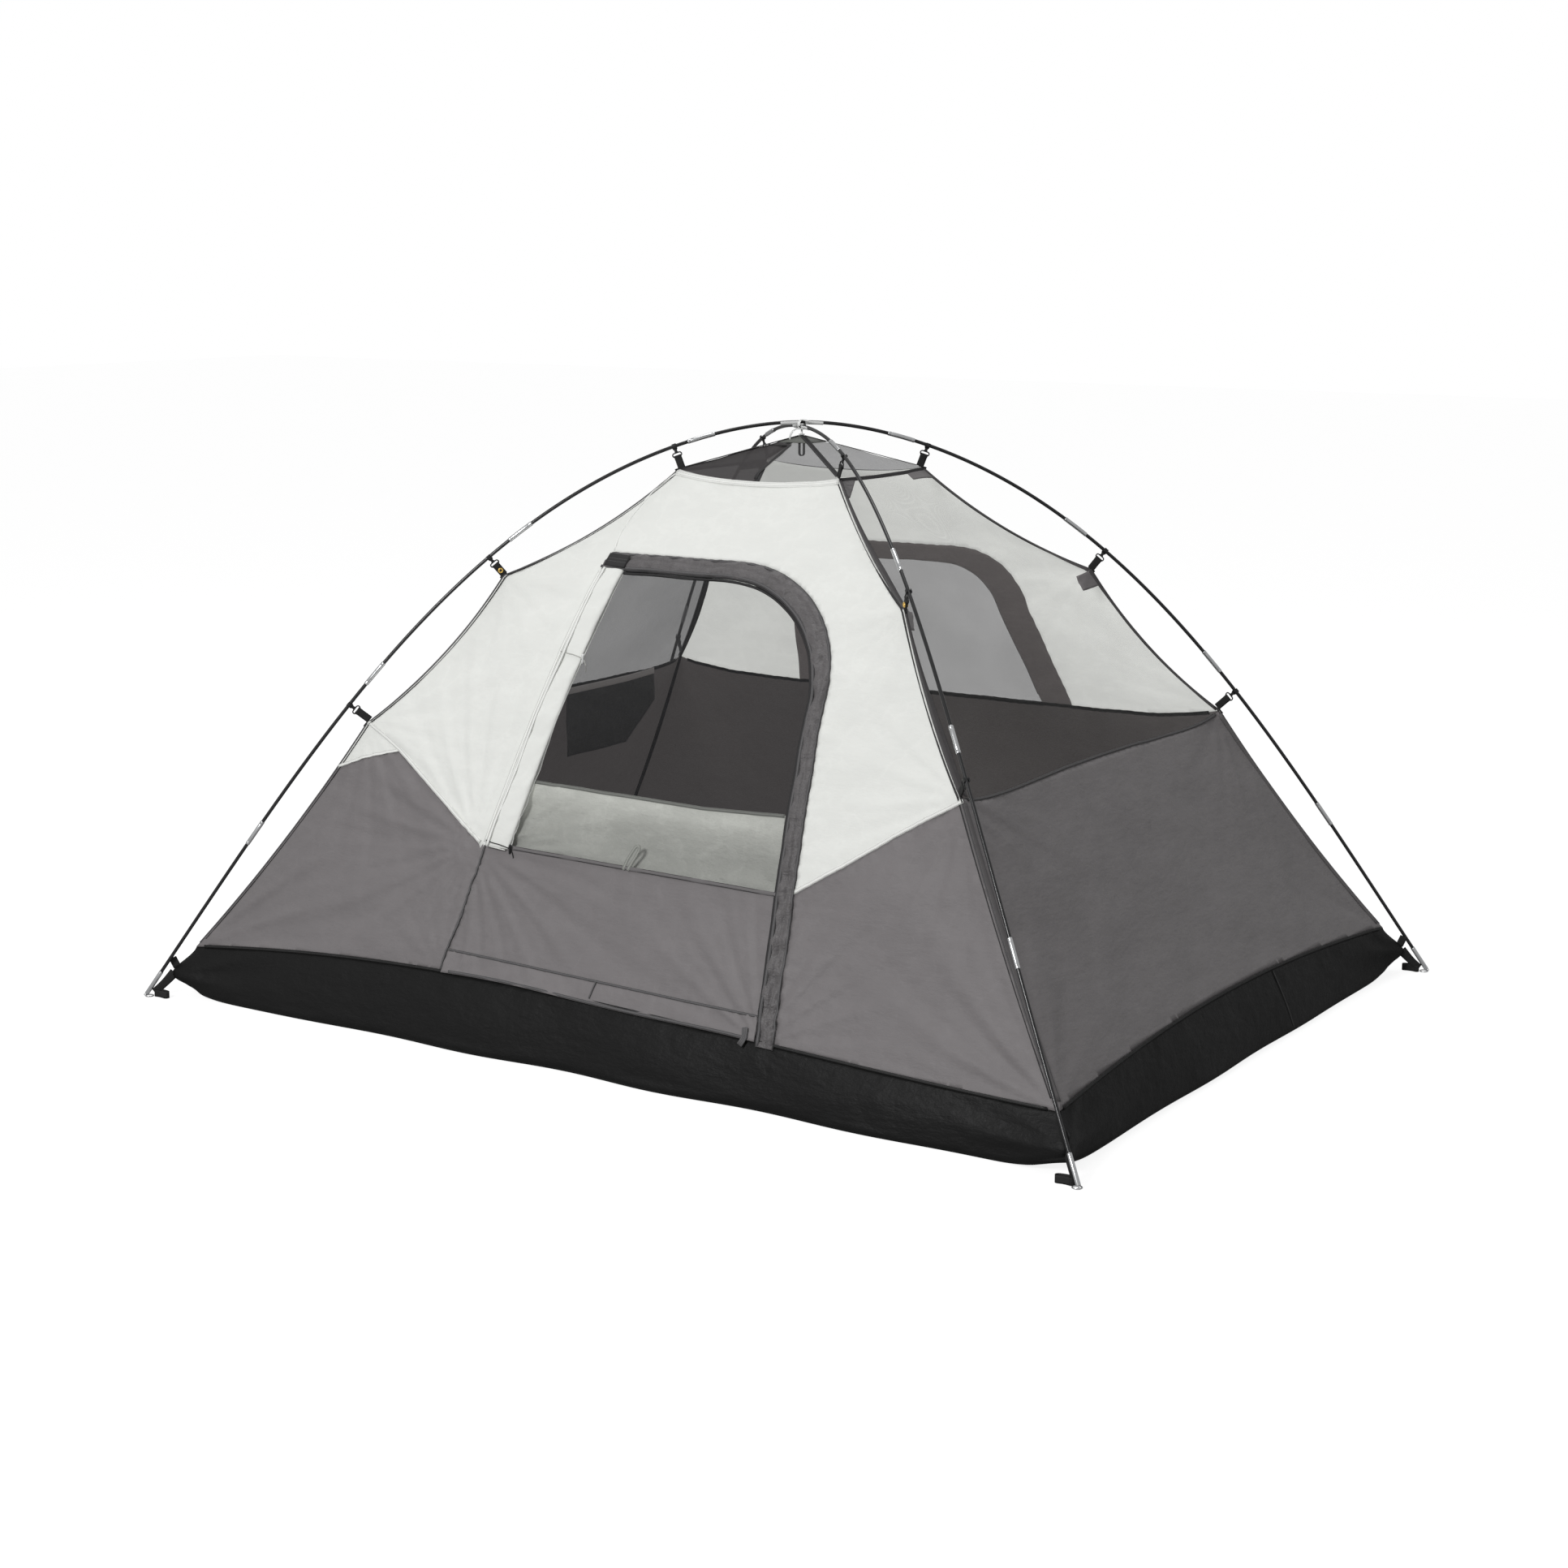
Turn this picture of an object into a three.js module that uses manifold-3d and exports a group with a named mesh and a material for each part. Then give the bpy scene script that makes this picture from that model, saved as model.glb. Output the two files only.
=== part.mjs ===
// Four-person dome tent, pitched: two crossed shock-corded poles, a bathtub floor, sewn wall
// panels, a mesh roof, a side-opening front door and the clips that hang it from the poles.
// Units are millimetres. +X is the tent's width to the right, -Y is the door side, +Z is up.
import * as THREE from 'three';
import { mergeVertices } from 'three/addons/utils/BufferGeometryUtils.js';
import { ParametricGeometry } from 'three/addons/geometries/ParametricGeometry.js';
import Module from 'manifold-3d';

const wasm = await Module();
wasm.setup();

// ---------------------------------------------------------------- driving dimensions

// Poles: one curve, flatter towards the ground, swept through two diagonal planes.
const TIP_X = 1430;                  // pole tip from the middle, along the width
const TIP_Y = 1102;                  // pole tip from the middle, along the depth
const TIP_Z = 7.5;                   // centre of the pole's end above the ground
const POLE_HALF_LENGTH = 2479;
const POLE_TIP_SLOPE = THREE.MathUtils.degToRad(55.75);
const POLE_BEND_EXPONENT = 2.67;     // how strongly the bend gathers at the crown
const POLE_SIDE_BOW = 35;            // sideways pull of the longer walls on a pole
const SECTION_COUNT = 9;
const SECTION_LENGTH = 2 * POLE_HALF_LENGTH / SECTION_COUNT;
const ROD_RADIUS = 4.75;
const FERRULE_RADIUS = 6;
const FERRULE_LENGTH = 76;
const SOCKET_CLEARANCE = 0.35;
const TIP_BORE_RADIUS = 4.2;
const POLE_SIDES = 8;
const ROD_STEP = 60;                 // longest straight run in the drawn curve
const CROSSING_LIFT = 5.6;           // each pole's rise or drop where they cross
const CROSSING_SPREAD = 260;

// Ridge seams of the tent body at one corner, from the tub up to the peak.
const TUB_CORNER = new THREE.Vector3(1330, 1007, 135);
const LOW_CLIP_SEAM = new THREE.Vector3(921, 744, 761);
const MIDDLE_CLIP_SEAM = new THREE.Vector3(626, 511, 1161);
const TOP_CLIP_SEAM = new THREE.Vector3(253, 217, 1445);
const PEAK = new THREE.Vector3(0, 0, 1533);
const RIDGE = [TUB_CORNER, LOW_CLIP_SEAM, MIDDLE_CLIP_SEAM, TOP_CLIP_SEAM, PEAK];
const SCALLOP = [15, 26, 26, 0];     // inward sag of the seam between two stations
const SCALLOP_AT_MIDDLE = 0.35;      // share of that sag left in the middle of a wall
const CLIP_ROUNDING = 0.4;           // how far the seam's corners spread, in ridge stations
const WALL_HOLLOW = 14;              // a wall's inward hollow between its two seams
const CLIP_ARCS = [1487, 935, 352];  // where the clips sit, along the pole from the crown

// Cloth.
const CLOTH = 1.2;
const SEAM_GAP = 0.5;
const RIDGE_TRIM = 2.2;
const ROOF_GAP = 2.6;
const FOOT_GAP = 1.8;
const FLOOR_HALF_X = 1352;
const FLOOR_HALF_Y = 1045;
const FLOOR_CORNER_RADIUS = 70;
const FLOOR_THICKNESS = 1.6;
const TUB_BOW_LONG = 46;             // rise of the tub's top edge in the middle of a long wall
const TUB_BOW_SHORT = 46;
const TUB_LEAN_FRONT = -40;          // more of that rise on the hinge side of the door
const ROOF_DROOP_LONG = 0.063;       // sag of the roof's lower edge, in ridge stations
const ROOF_DROOP_SHORT = 0.012;
const SIDE_PANEL_RISE = 0.03;        // bow of the side panels' top edge, in ridge stations

// Front door, as heights and widths seen square on.
const HINGE_TOP = new THREE.Vector2(-337, 1194);
const HINGE_FOOT = new THREE.Vector2(-485, 140);
const DOOR_ARCH = { straightX: 60, radiusX: 368, springZ: 896, topZ: 1190, footX: 512, footZ: 140 };
const BAND_ARCH = { straightX: 80, radiusX: 390, springZ: 936, topZ: 1234, footX: 563, footZ: 140 };
const HEM_Z = { left: 504, right: 488 };
const ROLL_TOP_WIDTH = 72;
const ROLL_FOOT_WIDTH = 80;
const ROLL_THICKNESS = 24;
const INNER_FLAP_TOP_Z = 673;
const DOOR_GAP = 1.0;

// ---------------------------------------------------------------- geometry helpers

function vec(x, y, z) {
  return new THREE.Vector3(x, y, z);
}

function closedIndex(geometry) {
  const bare = new THREE.BufferGeometry();
  bare.setAttribute('position', geometry.getAttribute('position').clone());
  if (geometry.index) {
    bare.setIndex(geometry.index.clone());
  }
  const merged = mergeVertices(bare, 1e-3);
  const kept = [];
  const index = merged.index.array;
  for (let i = 0; i < index.length; i += 3) {
    const [a, b, c] = [index[i], index[i + 1], index[i + 2]];
    if (a !== b && b !== c && c !== a) {
      kept.push(a, b, c);
    }
  }
  merged.setIndex(kept);
  return merged;
}

function toSolid(geometry) {
  const merged = closedIndex(geometry);
  const mesh = new wasm.Mesh({
    numProp: 3,
    vertProperties: new Float32Array(merged.getAttribute('position').array),
    triVerts: new Uint32Array(merged.index.array),
  });
  return new wasm.Manifold(mesh);
}

function toGeometry(solid) {
  const mesh = solid.getMesh();
  const geometry = new THREE.BufferGeometry();
  geometry.setAttribute('position', new THREE.BufferAttribute(mesh.vertProperties, 3));
  geometry.setIndex(new THREE.BufferAttribute(mesh.triVerts, 1));
  return geometry;
}

function joined(geometries) {
  return toGeometry(geometries.map(toSolid).reduce((sum, solid) => sum.add(solid)));
}

// Moves every vertex of a plain shape to a new place.
function bent(geometry, place) {
  const position = geometry.getAttribute('position');
  for (let i = 0; i < position.count; i += 1) {
    const moved = place(position.getX(i), position.getY(i), position.getZ(i));
    position.setXYZ(i, moved.x, moved.y, moved.z);
  }
  return geometry;
}

// A shape drawn in local axes, set down with those axes along three directions.
function placed(geometry, origin, xAxis, yAxis, zAxis) {
  const basis = new THREE.Matrix4().makeBasis(xAxis, yAxis, zAxis).setPosition(origin);
  return geometry.applyMatrix4(basis);
}

function boxAt(width, depth, height, centre) {
  return new THREE.BoxGeometry(width, depth, height).translate(centre.x, centre.y, centre.z);
}

// Splits some four-sided faces along their other diagonal, so that both sides of thin cloth
// fold alike and never pass through each other.
const CORNERS_PER_FACE = 6;
function turnDiagonals(geometry, firstFace, count) {
  const { index } = geometry;
  for (let face = firstFace; face < firstFace + count; face += 1) {
    const start = face * CORNERS_PER_FACE;
    const [a, b, d] = [index.getX(start), index.getX(start + 1), index.getX(start + 2)];
    const c = index.getX(start + 4);
    [a, b, c, a, c, d].forEach((corner, i) => index.setX(start + i, corner));
  }
  return geometry;
}

// A flat sheet of unit thickness, ready to be bent.
function clothSlab(width, height, across, up) {
  const slab = new THREE.BoxGeometry(width, height, 1, across, up, 1);
  const backFaces = across * up;
  return turnDiagonals(slab, slab.index.count / CORNERS_PER_FACE - backFaces, backFaces);
}

// ---------------------------------------------------------------- poles

// The bent pole as (reach from the middle, height) against arc length from the crown.
const POLE_STEPS = 1000;
const poleTable = [];
function fillPoleTable() {
  const step = POLE_HALF_LENGTH / POLE_STEPS;
  let reach = 0;
  let drop = 0;
  for (let i = 0; i <= POLE_STEPS; i += 1) {
    poleTable.push([reach, drop]);
    const slope = poleSlope((i + 0.5) * step);
    reach += Math.cos(slope) * step;
    drop += Math.sin(slope) * step;
  }
}

function poleSlope(arc) {
  return POLE_TIP_SLOPE * (1 - (1 - arc / POLE_HALF_LENGTH) ** POLE_BEND_EXPONENT);
}

fillPoleTable();
const [POLE_REACH, POLE_HEIGHT] = poleTable[POLE_STEPS];
const CROWN_Z = TIP_Z + POLE_HEIGHT;
const HEADING = Math.atan2(TIP_Y, TIP_X);

// One corner's half of a pole: signX and signY pick the corner, lift is up or down at the crown.
function cornerPolePoint(arc, signX, signY, lift) {
  const at = Math.min(arc / POLE_HALF_LENGTH, 1) * POLE_STEPS;
  const low = Math.min(Math.floor(at), POLE_STEPS - 1);
  const reach = THREE.MathUtils.lerp(poleTable[low][0], poleTable[low + 1][0], at - low);
  const drop = THREE.MathUtils.lerp(poleTable[low][1], poleTable[low + 1][1], at - low);
  const bow = POLE_SIDE_BOW * Math.sin(Math.PI * (reach / POLE_REACH) ** 1.5);
  const rise = lift * Math.exp(-((arc / CROSSING_SPREAD) ** 2));
  return vec(
    signX * (Math.cos(HEADING) * reach - Math.sin(HEADING) * bow),
    signY * (Math.sin(HEADING) * reach + Math.cos(HEADING) * bow),
    CROWN_Z - drop + rise,
  );
}

// A whole pole from one tip (arc below zero) over the crown to the other tip.
function polePoint(pole, arc) {
  const side = arc < 0 ? -1 : 1;
  return cornerPolePoint(Math.abs(arc), side, side * pole.backSign, pole.lift);
}

function poleTangent(pole, arc) {
  const reach = 1;
  return polePoint(pole, arc + reach).sub(polePoint(pole, arc - reach)).normalize();
}

const POLES = [
  { name: 'pole_a', backSign: 1, lift: CROSSING_LIFT },
  { name: 'pole_b', backSign: -1, lift: -CROSSING_LIFT },
];

// A turned shape about its own length, bent along the pole.
function alongPole(pole, profile) {
  const points = profile.map(([radius, arc]) => new THREE.Vector2(radius, arc));
  const turned = new THREE.LatheGeometry(points, POLE_SIDES);
  return bent(turned, (x, arc, z) => {
    const centre = polePoint(pole, arc);
    const along = poleTangent(pole, arc);
    const side = vec(0, 0, 1).cross(along).normalize();
    const up = along.clone().cross(side);
    return centre.addScaledVector(side, x).addScaledVector(up, -z);
  });
}

// Arc stations between two ends, no further apart than one step.
function stations(from, to, step) {
  const count = Math.max(1, Math.ceil(Math.abs(to - from) / step));
  return Array.from({ length: count + 1 }, (_, i) => from + (to - from) * i / count);
}

// Bare rod between two arcs; the part inside a ferrule stays straight, as the tube is.
function rodProfile(from, to) {
  const bare = from + FERRULE_LENGTH / 2;
  return [[ROD_RADIUS, from], ...stations(bare, to, ROD_STEP).map((arc) => [ROD_RADIUS, arc])];
}

// The far end of a section: a steel ferrule bonded on as a socket for the next rod.
function socketProfile(end) {
  const mouth = end + FERRULE_LENGTH / 2;
  return [
    [FERRULE_RADIUS, end - FERRULE_LENGTH / 2],
    [FERRULE_RADIUS, end],
    [FERRULE_RADIUS, mouth],
    [ROD_RADIUS + SOCKET_CLEARANCE, mouth],
    [ROD_RADIUS + SOCKET_CLEARANCE, end],
    [0, end],
  ];
}

function middleSection(pole, start, end) {
  const rod = rodProfile(start, end - FERRULE_LENGTH / 2);
  return alongPole(pole, [[0, start], ...rod, ...socketProfile(end)]);
}

// A pole's outer end: a hollow steel tube that a corner pin plugs into. Outward is the
// direction of the tip along the arc.
function tipProfile(tip, outward) {
  const socketFloor = tip - outward * 56;
  return [
    [FERRULE_RADIUS, tip - outward * FERRULE_LENGTH],
    [FERRULE_RADIUS, tip],
    [TIP_BORE_RADIUS, tip],
    [TIP_BORE_RADIUS, socketFloor],
    [0, socketFloor],
  ];
}

function firstSection(pole, start, end) {
  const rod = stations(start + FERRULE_LENGTH, end - FERRULE_LENGTH / 2, ROD_STEP);
  const profile = rod.map((arc) => [ROD_RADIUS, arc]);
  return alongPole(pole, [...tipProfile(start, -1).reverse(), ...profile, ...socketProfile(end)]);
}

function lastSection(pole, start, end) {
  return alongPole(pole, [[0, start], ...rodProfile(start, end - FERRULE_LENGTH), ...tipProfile(end, 1)]);
}

function sectionGeometry(pole, number) {
  const start = -POLE_HALF_LENGTH + number * SECTION_LENGTH;
  const end = start + SECTION_LENGTH;
  const inserted = start + SOCKET_CLEARANCE;
  if (number === 0) {
    return firstSection(pole, start, end);
  }
  if (number === SECTION_COUNT - 1) {
    return lastSection(pole, inserted, end);
  }
  return middleSection(pole, inserted, end);
}

// ---------------------------------------------------------------- tent body surface

const WALLS = {
  front: { alongX: true, sign: -1, bow: TUB_BOW_LONG, lean: TUB_LEAN_FRONT, droop: ROOF_DROOP_LONG },
  right: { alongX: false, sign: 1, bow: TUB_BOW_SHORT, lean: 0, droop: ROOF_DROOP_SHORT },
  back: { alongX: true, sign: 1, bow: TUB_BOW_LONG, lean: 0, droop: ROOF_DROOP_LONG },
  left: { alongX: false, sign: -1, bow: TUB_BOW_SHORT, lean: 0, droop: ROOF_DROOP_SHORT },
};

// A ridge seam at station v (0 tub, 1 to 3 clips, 4 peak) with a share of its scallop.
function ridgePoint(v, share) {
  const segment = Math.min(Math.max(Math.floor(v), 0), RIDGE.length - 2);
  const t = v - segment;
  const [from, to] = [RIDGE[segment], RIDGE[segment + 1]];
  const point = from.clone().lerp(to, t);
  const outward = vec(from.x + to.x, from.y + to.y, 0).normalize();
  const rise = to.z - from.z;
  const reach = outward.dot(vec(to.x - from.x, to.y - from.y, 0));
  const length = Math.hypot(rise, reach);
  const sag = SCALLOP[segment] * share * 4 * t * (1 - t);
  point.addScaledVector(outward, -sag * rise / length);
  point.z += sag * reach / length;
  return point;
}

// The same seam with its corners at the clips rounded off, as the middle of a wall hangs.
function roundedRidge(v, share) {
  const reach = Math.min(CLIP_ROUNDING, v / 2, Math.abs(3 - v) / 2);
  const sum = vec(0, 0, 0);
  for (const step of [-1, -0.5, 0, 0.5, 1]) {
    sum.add(ridgePoint(v + reach * step, share));
  }
  return sum.divideScalar(5);
}

// A point on a wall: t runs from -1 to 1 between its two ridge seams, v up the ridge stations.
function wallPoint(wall, t, v) {
  const share = SCALLOP_AT_MIDDLE + (1 - SCALLOP_AT_MIDDLE) * t * t;
  const ridge = roundedRidge(v, share).lerp(ridgePoint(v, share), t ** 6);
  const hollow = WALL_HOLLOW * (1 - t * t) * Math.sin(Math.PI * Math.min(v / 3, 1));
  if (wall.alongX) {
    return vec(t * ridge.x, wall.sign * (ridge.y - hollow), ridge.z);
  }
  return vec(wall.sign * (ridge.x - hollow), t * ridge.y, ridge.z);
}

function wallNormal(wall, t, v) {
  const small = 1e-3;
  const across = wallPoint(wall, t + small, v).sub(wallPoint(wall, t - small, v));
  const up = wallPoint(wall, t, v + small).sub(wallPoint(wall, t, v - small));
  const normal = across.cross(up).normalize();
  const outward = wall.alongX ? normal.y * wall.sign : normal.x * wall.sign;
  return outward < 0 ? normal.negate() : normal;
}

function tubStation(wall, t) {
  const rise = (wall.bow + wall.lean * t) * (1 - t * t);
  return rise / (LOW_CLIP_SEAM.z - TUB_CORNER.z);
}

function roofStation(wall, t) {
  return 3 - wall.droop * (1 - t * t);
}

function sidePanelStation(t) {
  return 1 + SIDE_PANEL_RISE * (1 - t * t);
}

// Cloth on a wall between two edges given as ridge stations, its outer face on the wall
// surface. It stops short of the ridge seams, clear of the next wall's cloth.
function wallCloth(wall, lowEdge, highEdge, across, up) {
  const slab = clothSlab(2, 1, across, up);
  const turn = wall.alongX ? -wall.sign : wall.sign;
  return bent(slab, (x, y, z) => {
    const low = lowEdge(x);
    const v = low + (highEdge(x) - low) * (y + 0.5);
    const ridge = ridgePoint(v, 1);
    const t = x * turn * (1 - RIDGE_TRIM / (wall.alongX ? ridge.x : ridge.y));
    return wallPoint(wall, t, v).addScaledVector(wallNormal(wall, t, v), (z - 0.5) * CLOTH);
  });
}

const station = (millimetres) => millimetres / (LOW_CLIP_SEAM.z - TUB_CORNER.z);

function wallFoot(wall) {
  return (t) => tubStation(wall, t) + station(FOOT_GAP);
}

function wallHead(wall) {
  const gap = ROOF_GAP / (TOP_CLIP_SEAM.z - MIDDLE_CLIP_SEAM.z);
  return (t) => roofStation(wall, t) - gap;
}

// ---------------------------------------------------------------- outlines, seen square on

// A flat outline in (x, height) as a prism that passes right through the front or back wall.
const PRISM_NEAR = 20;
const PRISM_FAR = 1220;
function wallPrism(wall, shape) {
  const depth = PRISM_FAR - PRISM_NEAR;
  const prism = new THREE.ExtrudeGeometry(shape, { depth, bevelEnabled: false, curveSegments: 12 });
  const originY = wall.sign < 0 ? -PRISM_NEAR : PRISM_FAR;
  return placed(prism, vec(0, originY, 0), vec(1, 0, 0), vec(0, 0, 1), vec(0, -1, 0));
}

function outline(points) {
  return new THREE.Shape(points.map(([across, height]) => new THREE.Vector2(across, height)));
}

function hingeX(z) {
  const t = (z - HINGE_FOOT.y) / (HINGE_TOP.y - HINGE_FOOT.y);
  return THREE.MathUtils.lerp(HINGE_FOOT.x, HINGE_TOP.x, t);
}

// Doorway outline: slanted hinge side, flat top, a quarter ellipse, then a slanted leg.
function archShape(arch, grow) {
  const shape = new THREE.Shape();
  const springX = arch.straightX + arch.radiusX;
  const top = arch.topZ + grow;
  const steps = 10;
  shape.moveTo(HINGE_FOOT.x - grow, arch.footZ);
  shape.lineTo(arch.footX + grow, arch.footZ);
  for (let i = 0; i <= steps; i += 1) {
    const angle = Math.PI / 2 * i / steps;
    const x = arch.straightX + (arch.radiusX + grow) * Math.cos(angle);
    const z = arch.springZ + (top - arch.springZ) * Math.sin(angle);
    shape.lineTo(Math.min(x, springX + grow), z);
  }
  shape.lineTo(hingeX(top) - grow, top);
  shape.closePath();
  return shape;
}

// The lower front panels rise from the doorway to a peak and fall again to the ridge.
function lowerLeftShape(grow) {
  return outline([
    [-1500, 100], [-400, 100], [-400, 476 + grow], [-459, 502 + grow],
    [-800, 699 + grow], [-897, 673 + grow], [-1100, 594 + grow], [-1500, 438 + grow],
  ]);
}

function lowerRightShape(grow) {
  return outline([
    [400, 100], [1500, 100], [1500, 1110 + grow], [930, 752 + grow], [762, 653 + grow],
    [639, 568 + grow], [518, 494 + grow], [400, 432 + grow],
  ]);
}

function hemLine(x) {
  const t = (x + 460) / 930;
  return THREE.MathUtils.lerp(HEM_Z.left, HEM_Z.right, t);
}

function belowHem(shift) {
  return outline([[-600, 100], [600, 100], [600, hemLine(600) + shift], [-600, hemLine(-600) + shift]]);
}

// The strip beside the hinge where the window's cover is rolled up and tied.
function rollEdgeX(z) {
  const t = (z - HEM_Z.left) / (HINGE_TOP.y - HEM_Z.left);
  return hingeX(z) + THREE.MathUtils.lerp(ROLL_FOOT_WIDTH, ROLL_TOP_WIDTH, t);
}

function rollStrip(grow) {
  const foot = hemLine(hingeX(HEM_Z.left));
  const head = HINGE_TOP.y + 60;
  return outline([
    [hingeX(foot) - 60, foot - 60], [rollEdgeX(foot) + grow, foot - 60],
    [rollEdgeX(head) + grow, head], [hingeX(head) - 60, head],
  ]);
}

// ---------------------------------------------------------------- front wall and door

function cutAll(solid, cutters) {
  return cutters.reduce((rest, cutter) => rest.subtract(cutter), solid);
}

function frontPieces() {
  const wall = WALLS.front;
  const cloth = toSolid(wallCloth(wall, wallFoot(wall), wallHead(wall), 14, 12));
  const prism = (shape) => toSolid(wallPrism(wall, shape));
  const doorway = prism(archShape(BAND_ARCH, SEAM_GAP));
  const bandOuter = prism(archShape(BAND_ARCH, 0));
  const opening = prism(archShape(DOOR_ARCH, DOOR_GAP));
  const door = cloth.intersect(prism(archShape(DOOR_ARCH, 0)));
  const upper = cutAll(cloth, [doorway, prism(lowerLeftShape(SEAM_GAP)), prism(lowerRightShape(SEAM_GAP))]);
  const strip = prism(rollStrip(SEAM_GAP));
  return {
    front_upper_panel: upper,
    front_lower_left_panel: cloth.intersect(prism(lowerLeftShape(0))).subtract(doorway),
    front_lower_right_panel: cloth.intersect(prism(lowerRightShape(0))).subtract(doorway),
    door_zip_flap: cloth.intersect(bandOuter).subtract(opening),
    door_lower_panel: door.intersect(prism(belowHem(-SEAM_GAP))),
    door_window_mesh: cutAll(door, [prism(belowHem(0)), strip]),
  };
}

// Where a wall's surface has a given across position and height.
function wallParameters(wall, across, height) {
  let v = 1;
  let t = 0;
  for (let i = 0; i < 30; i += 1) {
    const point = wallPoint(wall, t, v);
    const size = ridgePoint(v, 1);
    v += (height - point.z) / 450;
    t += wall.alongX ? (across - point.x) / size.x : (across - point.y) / size.y;
  }
  return [t, v];
}

function onWall(wall, across, height, outward) {
  const [t, v] = wallParameters(wall, across, height);
  return wallPoint(wall, t, v).addScaledVector(wallNormal(wall, t, v), outward);
}

// Rolled cover: a half-round roll lying on the door along its hinge.
function rolledFlap() {
  const foot = hemLine(hingeX(HEM_Z.left)) - 6;
  const head = HINGE_TOP.y - 4;
  const halfRound = new THREE.Shape().absarc(0, 0, 1, 0, Math.PI, false);
  const solid = new THREE.ExtrudeGeometry(halfRound, { depth: 1, steps: 9, bevelEnabled: false, curveSegments: 10 });
  return bent(solid, (x, y, z) => {
    const height = THREE.MathUtils.lerp(foot, head, z);
    const from = hingeX(height) + 3;
    const to = rollEdgeX(height) - 1;
    const across = (from + to) / 2 - x * (to - from) / 2;
    return onWall(WALLS.front, across, height, 0.6 + y * ROLL_THICKNESS);
  });
}

// The solid inner cover, dropped behind the lower half of the door's mesh.
function innerFlap() {
  const slab = clothSlab(1, 1, 8, 3);
  return bent(slab, (x, y, z) => {
    const height = THREE.MathUtils.lerp(HEM_Z.left - 10, INNER_FLAP_TOP_Z, y + 0.5);
    const across = THREE.MathUtils.lerp(rollEdgeX(height) + 6, 432, x + 0.5);
    return onWall(WALLS.front, across, height, -8 - (0.5 - z) * CLOTH);
  });
}

// The zip's slider and pull, on the inside of the door's straight leg.
const SLIDER_START_Z = 215;
const SLIDER_TRAVEL = 470;
const SLIDER_INSET = 11;

function doorLegX(z) {
  const { straightX, radiusX, springZ, footX, footZ } = DOOR_ARCH;
  return THREE.MathUtils.lerp(footX, straightX + radiusX, (z - footZ) / (springZ - footZ));
}

function zipSlider() {
  const wall = WALLS.front;
  const rise = 400;
  const low = onWall(wall, doorLegX(SLIDER_START_Z), SLIDER_START_Z, -SLIDER_INSET);
  const high = onWall(wall, doorLegX(SLIDER_START_Z + rise), SLIDER_START_Z + rise, -SLIDER_INSET);
  const along = high.clone().sub(low).normalize();
  const across = vec(0, 1, 0).cross(along).normalize();
  const inward = along.clone().cross(across);
  const body = boxAt(13, 6, 26, vec(0, 0, 0));
  const bridge = boxAt(6, 4, 14, vec(0, 4.5, 0));
  const pull = boxAt(9, 2, 40, vec(0, 7, -14));
  return placed(joined([body, bridge, pull]), low, across, inward, along);
}

// ---------------------------------------------------------------- back and side walls

// Back window: legs lean out from an arch; the band around it is a fixed width.
function windowShape(halfTop, halfFoot, topZ, cornerRadius, grow) {
  const footZ = 700;
  const springZ = topZ - cornerRadius;
  const shape = new THREE.Shape();
  shape.moveTo(-halfFoot - grow, footZ);
  shape.lineTo(halfFoot + grow, footZ);
  shape.lineTo(halfTop + grow, springZ);
  shape.quadraticCurveTo(halfTop + grow, topZ + grow, halfTop - cornerRadius, topZ + grow);
  shape.lineTo(-halfTop + cornerRadius, topZ + grow);
  shape.quadraticCurveTo(-halfTop - grow, topZ + grow, -halfTop - grow, springZ);
  shape.closePath();
  return shape;
}

const windowOuter = (grow) => windowShape(402, 470, 1209, 180, grow);
const windowInner = (grow) => windowShape(306, 376, 1156, 150, grow);

function backPieces() {
  const wall = WALLS.back;
  const seam = () => 1;
  const aboveSeam = () => 1 + station(SEAM_GAP);
  const lower = toSolid(wallCloth(wall, wallFoot(wall), seam, 14, 4));
  const upper = toSolid(wallCloth(wall, aboveSeam, wallHead(wall), 14, 8));
  const prism = (shape) => toSolid(wallPrism(wall, shape));
  const inner = prism(windowInner(0));
  return {
    back_lower_panel: lower,
    back_upper_panel: upper.subtract(prism(windowOuter(SEAM_GAP))),
    back_window_band: upper.intersect(prism(windowOuter(0))).subtract(prism(windowInner(SEAM_GAP))),
    back_window_mesh: upper.intersect(inner),
  };
}

function sidePieces(name) {
  const wall = WALLS[name];
  const above = (t) => sidePanelStation(t) + station(SEAM_GAP);
  return {
    [`${name}_lower_panel`]: toSolid(wallCloth(wall, wallFoot(wall), sidePanelStation, 12, 4)),
    [`${name}_mesh_panel`]: toSolid(wallCloth(wall, above, wallHead(wall), 12, 8)),
  };
}

// A gear pocket inside the left wall, near the back. It is sewn on along its top edge and
// hangs plumb from there, clear of the leaning wall; its lower corner at the back is cut off.
const POCKET = { near: 130, far: 582, top: 745, drop: 208, dropAtCut: 96, cut: 1 / 3 };
const POCKET_OFF_WALL = 6;

function storagePocket() {
  const slab = clothSlab(1, 1, 6, 4);
  return bent(slab, (x, y, z) => {
    const share = x + 0.5;
    const across = THREE.MathUtils.lerp(POCKET.far, POCKET.near, share);
    const past = Math.min(share / POCKET.cut, 1);
    const drop = THREE.MathUtils.lerp(POCKET.dropAtCut, POCKET.drop, past);
    const top = onWall(WALLS.left, across, POCKET.top, -POCKET_OFF_WALL);
    return vec(top.x + (0.5 - z) * CLOTH, top.y, top.z - drop * (0.5 - y));
  });
}

// ---------------------------------------------------------------- roof and floor

const WALL_ORDER = [WALLS.front, WALLS.right, WALLS.back, WALLS.left];

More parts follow.
